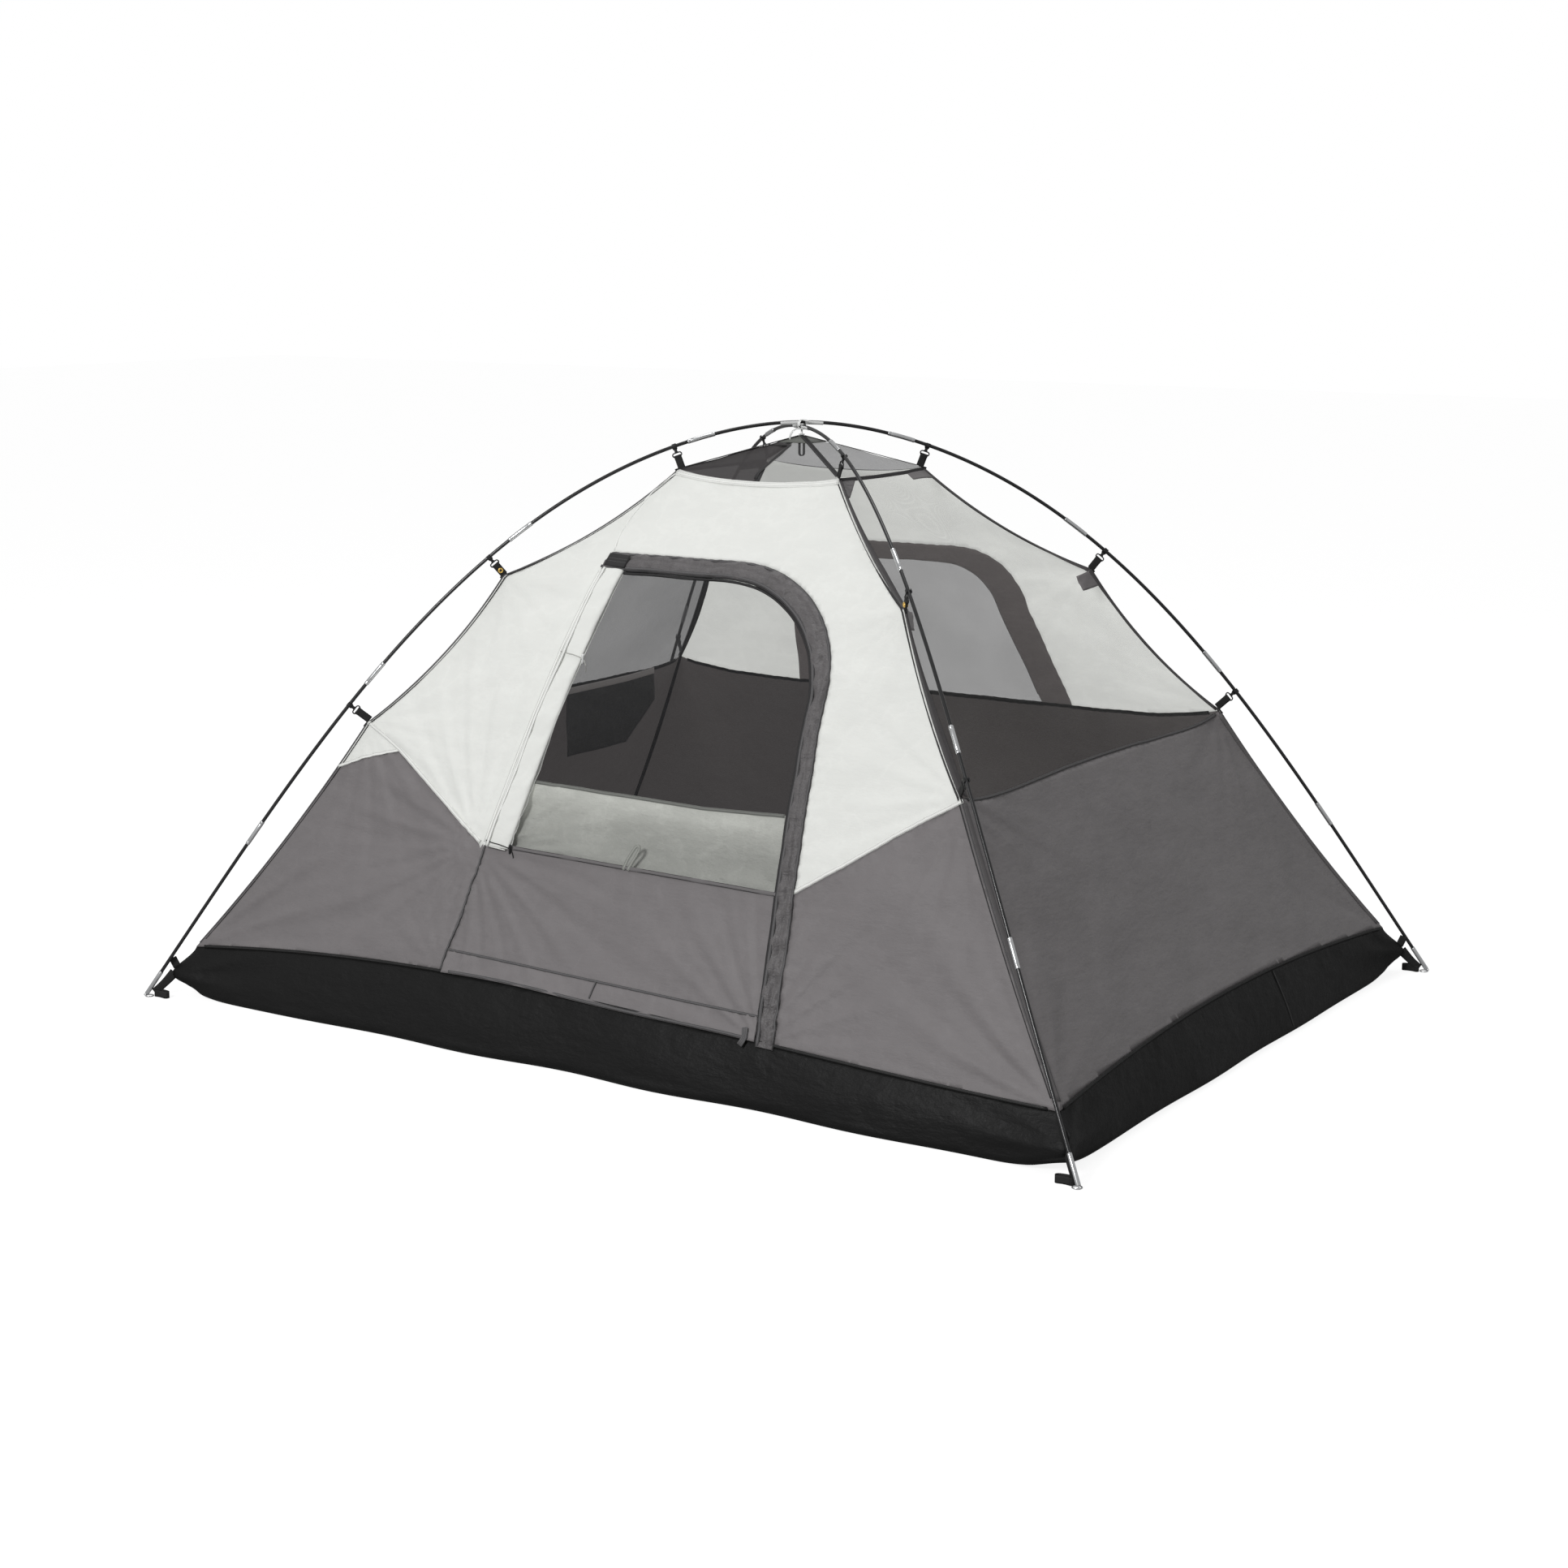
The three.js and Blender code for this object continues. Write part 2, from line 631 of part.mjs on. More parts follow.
// Walks once round the tent: u from 0 to 1 gives a wall and a position along it.
function aroundTent(u) {
  const turns = (u % 1) * 4;
  const number = Math.floor(turns + 1e-9) % 4;
  const wall = WALL_ORDER[number];
  const t = 2 * (turns - Math.floor(turns + 1e-9)) - 1;
  const forward = number === 0 || number === 1;
  return [wall, forward ? t : -t];
}

// Four mesh triangles sewn along their seams into one low pyramid: its rows of points run
// from the peak down the underside to the rim, and back up over the top.
function roofMesh() {
  const [around, rings] = [32, 3];
  const rows = 2 * rings + 1;
  const roof = new ParametricGeometry((u, v, target) => {
    const [wall, t] = aroundTent(u);
    const row = Math.round(v * rows);
    const under = row <= rings;
    const up = under ? 1 - row / rings : (row - rings - 1) / rings;
    const point = wallPoint(wall, t, THREE.MathUtils.lerp(roofStation(wall, t), 4, up));
    target.set(point.x, point.y, point.z - (under ? CLOTH : 0));
  }, around, rows);
  return turnDiagonals(roof, 0, rings * around);
}

// The floor's edge on the ground: a rectangle with rounded corners.
function floorEdge(wall, t) {
  const along = wall.alongX ? FLOOR_HALF_X : FLOOR_HALF_Y;
  const out = wall.alongX ? FLOOR_HALF_Y : FLOOR_HALF_X;
  const cornerStart = along - FLOOR_CORNER_RADIUS;
  const run = Math.abs(t) * along;
  const past = Math.max(0, run - cornerStart) / FLOOR_CORNER_RADIUS;
  const angle = past * Math.PI / 4;
  const side = Math.min(run, cornerStart) + FLOOR_CORNER_RADIUS * Math.sin(angle);
  const reach = out - FLOOR_CORNER_RADIUS * (1 - Math.cos(angle));
  const across = Math.sign(t) * side;
  return wall.alongX ? vec(across, wall.sign * reach, 0) : vec(wall.sign * reach, across, 0);
}

// Bathtub floor: groundsheet and the low walls turned up from it, one welded piece.
function bathtubFloor() {
  const around = 48;
  const inner = 1 - FLOOR_THICKNESS / FLOOR_HALF_Y;
  const rows = [
    (edge) => vec(0, 0, 0),
    (edge) => edge.clone(),
    (edge, top) => edge.clone().lerp(top, 0.5),
    (edge, top) => top.clone(),
    (edge, top) => shrunk(top, inner),
    (edge, top) => shrunk(edge.clone().lerp(top, 0.5), inner),
    (edge) => shrunk(edge, inner).setZ(FLOOR_THICKNESS),
    () => vec(0, 0, FLOOR_THICKNESS),
  ];
  const innerRows = rows.length / 2;
  const tub = new ParametricGeometry((u, v, target) => {
    const [wall, t] = aroundTent(u);
    const row = Math.round(v * (rows.length - 1));
    target.copy(rows[row](floorEdge(wall, t), wallPoint(wall, t, tubStation(wall, t))));
  }, around, rows.length - 1);
  return turnDiagonals(tub, innerRows * around, (innerRows - 1) * around);
}

function shrunk(point, share) {
  return vec(point.x * share, point.y * share, point.z);
}

// ---------------------------------------------------------------- clips and corner hardware

const CORNERS = [
  { name: 'front_left', signX: -1, signY: -1, pole: POLES[0] },
  { name: 'front_right', signX: 1, signY: -1, pole: POLES[1] },
  { name: 'back_right', signX: 1, signY: 1, pole: POLES[0] },
  { name: 'back_left', signX: -1, signY: 1, pole: POLES[1] },
];
const CLIP_LEVELS = ['low', 'middle', 'top'];

function atCorner(corner, point) {
  return vec(point.x * corner.signX, point.y * corner.signY, point.z);
}

// Hook round the pole, waisted neck, D-ring bar and the webbing tab sewn to the ridge.
function poleClip(corner, level) {
  const arc = corner.signX * CLIP_ARCS[level];
  const onPole = polePoint(corner.pole, arc);
  const seam = atCorner(corner, RIDGE[level + 1]);
  const along = poleTangent(corner.pole, arc);
  const down = seam.clone().sub(onPole);
  down.addScaledVector(along, -down.dot(along) * 0.999);
  const length = seam.distanceTo(onPole) - 2.2;
  const inward = down.normalize();
  const side = inward.clone().cross(along).normalize();
  const hookInner = ROD_RADIUS + 0.55;
  const hookOuter = hookInner + 2.6;
  const hook = new THREE.Shape();
  hook.absarc(0, 0, hookOuter, -0.9, Math.PI + 0.5, false);
  hook.absarc(0, 0, hookInner, Math.PI + 0.5, -0.9, true);
  const hookSolid = new THREE.ExtrudeGeometry(hook, { depth: 13, bevelEnabled: false, curveSegments: 7 });
  hookSolid.translate(0, 0, -6.5);
  const neck = boxAt(5, 12, 9, vec(0, hookOuter + 4.5, 0));
  const bar = boxAt(3.4, 4, 24, vec(0, hookOuter + 11, 0));
  const webbingStart = hookOuter + 12;
  const webbing = boxAt(2.4, length - webbingStart, 20, vec(0, (length + webbingStart) / 2, 0));
  return placed(joined([hookSolid, neck, bar, webbing]), onPole, side, inward, along);
}

// Steel pin that plugs into the pole's tip, with the ring it hangs from.
const PIN_WIRE = 1.6;
const RING_RADIUS = 11;

function tipFrame(corner) {
  const arc = corner.signX * POLE_HALF_LENGTH;
  const small = 2;
  const tip = polePoint(corner.pole, arc);
  const before = polePoint(corner.pole, arc - corner.signX * small);
  const down = tip.clone().sub(before).normalize();
  const outward = vec(tip.x, tip.y, 0).normalize();
  return { tip, down, outward };
}

function cornerPin(corner) {
  const { tip, down, outward } = tipFrame(corner);
  const groundZ = PIN_WIRE + 0.4;
  const foot = tip.clone().addScaledVector(down, (groundZ - tip.z) / down.z);
  const head = tip.clone().addScaledVector(down, -50);
  const length = head.distanceTo(foot);
  const pin = new THREE.CylinderGeometry(2, 2, length, 6).translate(0, length / 2, 0);
  const axis = down.clone().negate();
  const side = outward.clone().cross(axis).normalize();
  placed(pin, foot, side.clone().cross(axis).negate(), axis, side);
  const centre = foot.clone().addScaledVector(outward, -RING_RADIUS);
  const ring = new THREE.TorusGeometry(RING_RADIUS, PIN_WIRE, 6, 14).translate(centre.x, centre.y, centre.z);
  return cleanJoin(pin, ring);
}

// Joins two shapes, shaving the pin's lower end flush with the ring's underside.
function cleanJoin(pin, ring) {
  const ground = boxAt(200, 200, 50, vec(0, 0, 0));
  const bounds = new THREE.Box3().setFromBufferAttribute(ring.getAttribute('position'));
  const centre = bounds.getCenter(vec(0, 0, 0));
  ground.translate(centre.x, centre.y, bounds.min.z - 25);
  return toGeometry(toSolid(pin).add(toSolid(ring)).subtract(toSolid(ground)));
}

// Webbing from the tub's corner to the ring, with the stake loop sewn to its end.
function cornerStrap(corner) {
  const { tip, outward } = tipFrame(corner);
  const ringInner = tip.clone().addScaledVector(outward, 4 - 2 * RING_RADIUS - PIN_WIRE - 1.2);
  const low = ringInner.setZ(9);
  const tubEdge = atCorner(corner, vec(FLOOR_HALF_X, FLOOR_HALF_Y, 0));
  const tubTop = atCorner(corner, TUB_CORNER);
  const top = tubEdge.lerp(tubTop, 0.55).addScaledVector(outward, 3.2);
  const knee = top.clone().lerp(low, 0.45).add(vec(0, 0, -9));
  const path = new THREE.QuadraticBezierCurve3(top, knee, low);
  const side = vec(0, 0, 1).cross(outward).normalize();
  const strap = bent(new THREE.BoxGeometry(1, 20, 2.2, 4, 1, 1), (x, y, z) => {
    const along = path.getTangent(x + 0.5);
    const normal = along.clone().cross(side).normalize();
    return path.getPoint(x + 0.5).addScaledVector(side, y).addScaledVector(normal, z);
  });
  const loopStart = low.clone().addScaledVector(outward, -10);
  return joined([strap, stakeLoop(corner, loopStart)]);
}

function stakeLoop(corner, start) {
  const length = 48;
  const halfThick = 9;
  const webbing = 2.2;
  const height = 19;
  const capsule = (radius) => {
    const path = new THREE.Path();
    path.absarc(0, 0, radius, Math.PI / 2, Math.PI * 1.5, false);
    path.absarc(length - 2 * halfThick, 0, radius, -Math.PI / 2, Math.PI / 2, false);
    path.closePath();
    return path;
  };
  const shape = new THREE.Shape(capsule(halfThick).getPoints(4));
  shape.holes.push(new THREE.Path(capsule(halfThick - webbing).getPoints(4)));
  const loop = new THREE.ExtrudeGeometry(shape, { depth: height, bevelEnabled: false });
  const inward = vec(-corner.signX, 0, 0);
  const origin = start.clone().setZ(0.6).addScaledVector(inward, 8);
  return placed(loop, origin, inward, vec(0, 0, 1).cross(inward), vec(0, 0, 1));
}

// Moulded saddle under the crossing, with a hook down to the tent's peak.
function crownClip() {
  const underLowerPole = CROWN_Z - CROSSING_LIFT - ROD_RADIUS - 0.5;
  const plateThick = 3;
  const plateZ = underLowerPole - plateThick / 2;
  const plate = new THREE.CylinderGeometry(17, 17, plateThick, 16).rotateX(Math.PI / 2).translate(0, 0, plateZ);
  const stemLength = plateZ - PEAK.z - 2.5;
  const stem = new THREE.CylinderGeometry(3, 3, stemLength, 10).rotateX(Math.PI / 2);
  stem.translate(0, 0, plateZ - stemLength / 2);
  const foot = new THREE.CylinderGeometry(9, 9, 2, 12).rotateX(Math.PI / 2);
  foot.translate(0, 0, plateZ - stemLength);
  const lowerHeading = -HEADING;
  const cheeks = [-1, 1].map((side) => {
    const cheek = boxAt(22, 2.4, 10, vec(0, side * (ROD_RADIUS + 1.9), plateZ + 5));
    return cheek.rotateZ(lowerHeading);
  });
  return joined([plate, stem, foot, ...cheeks]);
}

// Webbing loop under the peak for a lantern.
const LOOP_HANG = 46;
const LOOP_DROP = 8;                 // pivot of the loop below the roof cloth

function lanternLoop() {
  const [halfWidth, webbing, depth] = [8, 1.8, 10];
  const top = PEAK.z - CLOTH - LOOP_DROP;
  const capsule = (radius) => {
    const path = new THREE.Path();
    path.absarc(0, -halfWidth, radius, 0, Math.PI, false);
    path.absarc(0, -LOOP_HANG + halfWidth, radius, Math.PI, 2 * Math.PI, false);
    path.closePath();
    return path;
  };
  const shape = new THREE.Shape(capsule(halfWidth).getPoints(6));
  shape.holes.push(new THREE.Path(capsule(halfWidth - webbing).getPoints(6)));
  const loop = new THREE.ExtrudeGeometry(shape, { depth, bevelEnabled: false });
  loop.translate(0, 0, -depth / 2);
  return placed(loop, vec(0, 0, top), vec(1, 0, 0), vec(0, 0, 1), vec(0, -1, 0));
}

// ---------------------------------------------------------------- materials and assembly

function finish(color, roughness, metalness = 0) {
  return new THREE.MeshStandardMaterial({ color, roughness, metalness });
}

const COLOURS = {
  lightCloth: () => finish(0xe6e8e4, 0.75),
  greyCloth: () => finish(0x6f6d6e, 0.75),
  tubCloth: () => finish(0x262626, 0.6),
  bandCloth: () => finish(0x5a5858, 0.7),
  innerCloth: () => finish(0xa7aaa0, 0.8),
  mesh: () => finish(0x8d8f8e, 0.9),
  darkMesh: () => finish(0x4a4a4c, 0.9),
  pole: () => finish(0x1d1d1f, 0.35),
  steel: () => finish(0xc9cbcd, 0.25, 1),
  plastic: () => finish(0x151515, 0.5),
  webbing: () => finish(0x1b1b1b, 0.85),
  clearPlastic: () => finish(0xe2e2de, 0.3),
};

const CLOTH_COLOURS = {
  front_upper_panel: 'lightCloth',
  front_lower_left_panel: 'greyCloth',
  front_lower_right_panel: 'greyCloth',
  door_zip_flap: 'bandCloth',
  door_lower_panel: 'greyCloth',
  door_window_mesh: 'darkMesh',
  back_lower_panel: 'greyCloth',
  back_upper_panel: 'lightCloth',
  back_window_band: 'bandCloth',
  back_window_mesh: 'mesh',
  left_lower_panel: 'greyCloth',
  left_mesh_panel: 'mesh',
  right_lower_panel: 'greyCloth',
  right_mesh_panel: 'mesh',
};

const tent = new THREE.Group();

function addPiece(name, geometry, colour) {
  const mesh = new THREE.Mesh(geometry, COLOURS[colour]());
  mesh.name = name;
  tent.add(mesh);
}

function addPoles() {
  for (const pole of POLES) {
    for (let number = 0; number < SECTION_COUNT; number += 1) {
      addPiece(`${pole.name}_section_${number + 1}`, sectionGeometry(pole, number), 'pole');
    }
  }
}

function addCloth() {
  const pieces = { ...frontPieces(), ...backPieces(), ...sidePieces('left'), ...sidePieces('right') };
  for (const [name, solid] of Object.entries(pieces)) {
    addPiece(name, toGeometry(solid), CLOTH_COLOURS[name]);
  }
  addPiece('rolled_window_cover', rolledFlap(), 'lightCloth');
  addPiece('inner_door_cover', innerFlap(), 'innerCloth');
  addPiece('roof_mesh', roofMesh(), 'mesh');
  addPiece('bathtub_floor', bathtubFloor(), 'tubCloth');
  addPiece('storage_pocket', storagePocket(), 'greyCloth');
}

function addHardware() {
  for (const corner of CORNERS) {
    CLIP_LEVELS.forEach((level, number) => {
      addPiece(`clip_${corner.name}_${level}`, poleClip(corner, number), 'plastic');
    });
    addPiece(`corner_pin_${corner.name}`, cornerPin(corner), 'steel');
    addPiece(`corner_strap_${corner.name}`, cornerStrap(corner), 'webbing');
  }
  addPiece('crown_clip', crownClip(), 'clearPlastic');
  addPiece('zip_slider', zipSlider(), 'steel');
  addPiece('lantern_loop', lanternLoop(), 'webbing');
}

addPoles();
addCloth();
addHardware();

export default tent;
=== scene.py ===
"""Dome tent, pitched without its rainfly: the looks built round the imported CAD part."""
import math

import bmesh
import bpy
import numpy as np
from mathutils import Matrix, Vector
from mathutils.geometry import delaunay_2d_cdt
from mathutils.kdtree import KDTree


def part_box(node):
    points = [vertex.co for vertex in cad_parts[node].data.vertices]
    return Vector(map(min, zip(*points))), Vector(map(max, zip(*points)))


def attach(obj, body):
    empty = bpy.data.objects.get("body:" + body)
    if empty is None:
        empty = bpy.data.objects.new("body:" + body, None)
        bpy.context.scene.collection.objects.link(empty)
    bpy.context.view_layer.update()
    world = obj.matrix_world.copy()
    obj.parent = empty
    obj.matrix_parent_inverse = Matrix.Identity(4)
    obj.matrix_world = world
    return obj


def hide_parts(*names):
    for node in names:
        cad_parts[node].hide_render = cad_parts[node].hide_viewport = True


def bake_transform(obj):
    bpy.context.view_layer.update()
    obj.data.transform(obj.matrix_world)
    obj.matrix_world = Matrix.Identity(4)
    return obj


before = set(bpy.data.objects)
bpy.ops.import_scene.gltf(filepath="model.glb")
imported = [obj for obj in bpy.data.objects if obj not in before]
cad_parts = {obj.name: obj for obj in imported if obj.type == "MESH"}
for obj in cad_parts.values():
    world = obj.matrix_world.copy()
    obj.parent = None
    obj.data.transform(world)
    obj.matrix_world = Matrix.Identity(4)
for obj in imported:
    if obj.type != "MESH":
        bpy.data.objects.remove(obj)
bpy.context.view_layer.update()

# ------------------------------------------------------------------ camera and studio

EYE = Vector((4.0033, -6.3200, 2.0570))
AIM = Vector((-0.0529, 0.0, 0.5661))
ROLL = math.radians(0.204)


def make_camera():
    data = bpy.data.cameras.new("camera")
    data.sensor_width = 36.0
    data.lens = 63.20
    data.clip_start = 0.1
    data.clip_end = 200.0
    camera = bpy.data.objects.new("camera", data)
    forward = (AIM - EYE).normalized()
    level = forward.cross(Vector((0, 0, 1))).normalized()
    upright = level.cross(forward)
    right = math.cos(ROLL) * level + math.sin(ROLL) * upright
    up = -math.sin(ROLL) * level + math.cos(ROLL) * upright
    turn = Matrix((right, up, -forward)).transposed().to_4x4()
    camera.matrix_world = Matrix.Translation(EYE) @ turn
    bpy.context.scene.collection.objects.link(camera)
    bpy.context.scene.camera = camera


def area_light(name, place, aim, size, power):
    data = bpy.data.lights.new(name, "AREA")
    data.shape = "DISK"
    data.size = size
    data.energy = power
    lamp = bpy.data.objects.new(name, data)
    lamp.location = place
    lamp.rotation_mode = "QUATERNION"
    lamp.rotation_quaternion = (Vector(aim) - Vector(place)).to_track_quat("-Z", "Y")
    bpy.context.scene.collection.objects.link(lamp)


def make_studio():
    """White surroundings, brighter to the camera than as light, a key light in front and one above."""
    scene = bpy.context.scene
    scene.view_settings.view_transform = "Standard"
    world = bpy.data.worlds.new("studio")
    world.use_nodes = True
    tree = world.node_tree
    lighting = tree.nodes["Background"]
    seen = tree.nodes.new("ShaderNodeBackground")
    for background, strength in ((lighting, 0.38), (seen, 1.0)):
        background.inputs["Color"].default_value = (1.0, 1.0, 1.0, 1.0)
        background.inputs["Strength"].default_value = strength
    path = tree.nodes.new("ShaderNodeLightPath")
    either = tree.nodes.new("ShaderNodeMixShader")
    tree.links.new(path.outputs["Is Camera Ray"], either.inputs[0])
    tree.links.new(lighting.outputs[0], either.inputs[1])
    tree.links.new(seen.outputs[0], either.inputs[2])
    tree.links.new(either.outputs[0], tree.nodes["World Output"].inputs["Surface"])
    scene.world = world
    area_light("key", (-0.2, -7.6, 4.8), (0, -0.4, 0.6), 2.4, 345)
    area_light("top", (-0.8, 0.4, 6.5), (0, 0, 0), 3.0, 75)


make_camera()
make_studio()

# ------------------------------------------------------------------ materials


class Nodes:
    """A material's node tree, with short ways to add and join nodes."""

    def __init__(self, name):
        self.material = bpy.data.materials.new(name)
        self.material.use_nodes = True
        self.tree = self.material.node_tree
        self.shader = self.tree.nodes["Principled BSDF"]

    def add(self, kind, values=None, **settings):
        node = self.tree.nodes.new(kind)
        for key, value in settings.items():
            setattr(node, key, value)
        for key, value in (values or {}).items():
            self.put(node.inputs[key], value)
        return node

    def put(self, socket, value):
        if isinstance(value, bpy.types.NodeSocket):
            self.tree.links.new(value, socket)
        else:
            socket.default_value = value

    def math(self, operation, a, b=0.0, c=0.0):
        node = self.add("ShaderNodeMath", operation=operation)
        for socket, value in zip(node.inputs, (a, b, c)):
            self.put(socket, value)
        return node.outputs[0]

    def ramp(self, value, low, high, to_low=0.0, to_high=1.0):
        node = self.add("ShaderNodeMapRange", interpolation_type="SMOOTHSTEP")
        for key, number in zip((0, 1, 2, 3, 4), (value, low, high, to_low, to_high)):
            self.put(node.inputs[key], number)
        return node.outputs[0]

    def noise(self, vector, scale, detail=3.0, roughness=0.55):
        values = {"Vector": vector, "Scale": scale, "Detail": detail, "Roughness": roughness}
        return self.add("ShaderNodeTexNoise", values).outputs["Fac"]

    def blend(self, share, dark, light):
        node = self.add("ShaderNodeMix", data_type="RGBA")
        self.put(node.inputs["Factor"], share)
        self.put(node.inputs["A"], dark)
        self.put(node.inputs["B"], light)
        return node.outputs["Result"]

    def bump(self, height, strength, distance, normal=None):
        node = self.add("ShaderNodeBump", {"Height": height, "Strength": strength, "Distance": distance})
        if normal is not None:
            self.put(node.inputs["Normal"], normal)
        return node.outputs["Normal"]

    def shade(self, **values):
        for key, value in values.items():
            self.put(self.shader.inputs[key.replace("_", " ").title().replace("Ior", "IOR")], value)


def tint(colour, factor):
    """A colour made lighter or darker, with full opacity."""
    return (*(min(1.0, c * factor) for c in colour), 1.0)


def place(nodes):
    return nodes.add("ShaderNodeTexCoord").outputs["Object"]


def cut(nodes):
    """The piece's own cloth coordinates in metres, along and across its threads."""
    return nodes.add("ShaderNodeUVMap", uv_map="cut").outputs["UV"]


THREAD = 0.0011


def weave(nodes, uv, period=THREAD):
    """Height of a plain weave: two sets of threads that pass over and under each other."""
    split = nodes.add("ShaderNodeSeparateXYZ", {"Vector": uv})
    turn = math.pi / period
    warp = nodes.math("SINE", nodes.math("MULTIPLY", split.outputs[0], turn))
    weft = nodes.math("SINE", nodes.math("MULTIPLY", split.outputs[1], turn))
    return nodes.math("MULTIPLY_ADD", nodes.math("MULTIPLY", warp, weft), 0.5, 0.5)


def cloth(name, colour, rough=0.62, crinkle=0.5, variation=0.05, sheen=0.15, glow=0.0, gloss=0.35, lit=None):
    """Coated polyester: fine weave, soft crinkles with a painted highlight along their fold lines and painted
    shade in their streaks; glow is painted light, emission for daylight through thin cloth, rising with
    height between the heights in lit.
    """
    n = Nodes(name)
    uv, where = cut(n), place(n)
    broad = n.noise(where, 2.2, 4.0)
    fine = n.noise(where, 38.0, 3.0)
    uneven = n.math("MULTIPLY_ADD", fine, 0.35, n.math("MULTIPLY", broad, 0.65))
    threads = weave(n, uv)
    base = n.blend(uneven, tint(colour, 1 - 1.6 * variation), tint(colour, 1 + 1.2 * variation))
    weave_and_fold_shade = n.blend(n.math("MULTIPLY", threads, 0.12), base, tint(colour, 1.18))
    turned = {"Vector": where, "Rotation": (0.4, 0.9, 0.3), "Scale": (1.0, 1.0, 3.2)}
    swirl = n.add("ShaderNodeMapping", turned)
    streaks = n.noise(swirl.outputs[0], 7.0, 6.0, 0.66)
    folds = n.math("ABSOLUTE", n.math("SUBTRACT", n.noise(where, 9.0, 5.0, 0.60), 0.5))
    creases = n.math("MULTIPLY_ADD", folds, 1.3, streaks)
    # Painted highlight along the fold lines and painted shade in the streaks, mixed into the colour.
    weave_and_fold_shade = n.blend(n.ramp(folds, 0.0, 0.05, 0.30 * crinkle, 0.0), weave_and_fold_shade, tint(colour, 1.22))
    weave_and_fold_shade = n.blend(n.ramp(streaks, 0.36, 0.66, 0.45 * crinkle, 0.0), weave_and_fold_shade, tint(colour, 0.86))
    soft = n.bump(creases, 0.55 * crinkle, 0.012)
    n.shade(base_color=weave_and_fold_shade, roughness=n.ramp(uneven, 0.25, 0.75, rough + 0.07, rough - 0.06))
    n.shade(normal=n.bump(threads, 0.10, 0.0002, soft), specular_ior_level=gloss)
    n.shade(sheen_weight=sheen, sheen_roughness=0.5)
    if glow:
        # Painted light: the cloth glows in its own colour, evenly, or rising with height between the two
        # heights in lit as a painted highlight towards the top.
        height = n.add("ShaderNodeSeparateXYZ", {"Vector": where}).outputs[2]
        n.shade(emission_color=weave_and_fold_shade, emission_strength=n.ramp(height, *lit, 0.0, glow) if lit else glow)
    return n.material


def netting(name, colour, cover=0.36, hole=0.0017):
    """Mosquito netting: see-through between round-cornered threads."""
    n = Nodes(name)
    uv = cut(n)
    split = n.add("ShaderNodeSeparateXYZ", {"Vector": uv})
    turn = 2 * math.pi / hole
    slant = n.math("MULTIPLY_ADD", split.outputs[1], 0.577, split.outputs[0])
    other = n.math("MULTIPLY_ADD", split.outputs[1], -0.577, split.outputs[0])
    a = n.math("COSINE", n.math("MULTIPLY", slant, turn))
    b = n.math("COSINE", n.math("MULTIPLY", other, turn))
    lattice = n.math("MAXIMUM", a, b)
    uneven = n.noise(place(n), 3.0, 3.0)
    thread = n.ramp(lattice, 0.1, 0.95, cover - 0.07, cover + 0.07)
    n.shade(alpha=n.math("ADD", thread, n.ramp(uneven, 0.2, 0.8, -0.03, 0.03)))
    n.shade(base_color=n.blend(uneven, tint(colour, 0.9), tint(colour, 1.12)), roughness=0.8)
    n.shade(normal=n.bump(lattice, 0.15, 0.0003), specular_ior_level=0.25)
    return n.material


def stitched(name, colour, thread, rows, rough=0.7, length=0.0042):
    """A sewn strip: weave and rows of lockstitch at set distances from its middle line."""
    n = Nodes(name)
    uv, where = cut(n), place(n)
    split = n.add("ShaderNodeSeparateXYZ", {"Vector": uv})
    along, across = split.outputs[0], split.outputs[1]
    step = n.math("PINGPONG", along, length / 2)
    dash = n.ramp(step, length * 0.06, length * 0.16)
    mask = None
    for row in rows:
        off = n.math("ABSOLUTE", n.math("SUBTRACT", across, row))
        line = n.math("MULTIPLY", n.ramp(off, 0.0004, 0.0008, 1.0, 0.0), dash)
        mask = line if mask is None else n.math("MAXIMUM", mask, line)
    uneven = n.noise(where, 40.0, 3.0)
    threads = weave(n, uv)
    base = n.blend(uneven, tint(colour, 0.9), tint(colour, 1.08))
    base = n.blend(n.math("MULTIPLY", threads, 0.15), base, tint(colour, 1.2))
    n.shade(base_color=n.blend(mask, base, (*thread, 1.0)) if mask is not None else base)
    n.shade(roughness=n.ramp(uneven, 0.2, 0.8, rough + 0.05, rough - 0.05))
    normal = n.bump(threads, 0.25, 0.0003)
    if mask is not None:
        normal = n.bump(mask, 0.5, 0.0006, normal)
    n.shade(normal=normal, specular_ior_level=0.3)
    return n.material


def webbing(name, colour):
    """Woven strap: ribs of a herringbone along its length and random lighter scuffs."""
    n = Nodes(name)
    uv, where = cut(n), place(n)
    split = n.add("ShaderNodeSeparateXYZ", {"Vector": uv})
    rib = n.math("PINGPONG", split.outputs[1], 0.0016)
    slant = n.math("ADD", split.outputs[0], rib)
    pick = n.math("SINE", n.math("MULTIPLY", slant, 2 * math.pi / 0.0016))
    height = n.math("MULTIPLY_ADD", pick, 0.5, 0.5)
    uneven = n.noise(where, 55.0, 3.0)
    base = n.blend(height, tint(colour, 0.7), tint(colour, 1.5))
    n.shade(base_color=n.blend(n.math("MULTIPLY", uneven, 0.4), base, tint(colour, 2.0)))
    n.shade(roughness=n.ramp(uneven, 0.2, 0.8, 0.86, 0.72))
    n.shade(normal=n.bump(height, 0.5, 0.0004), specular_ior_level=0.3)
    return n.material


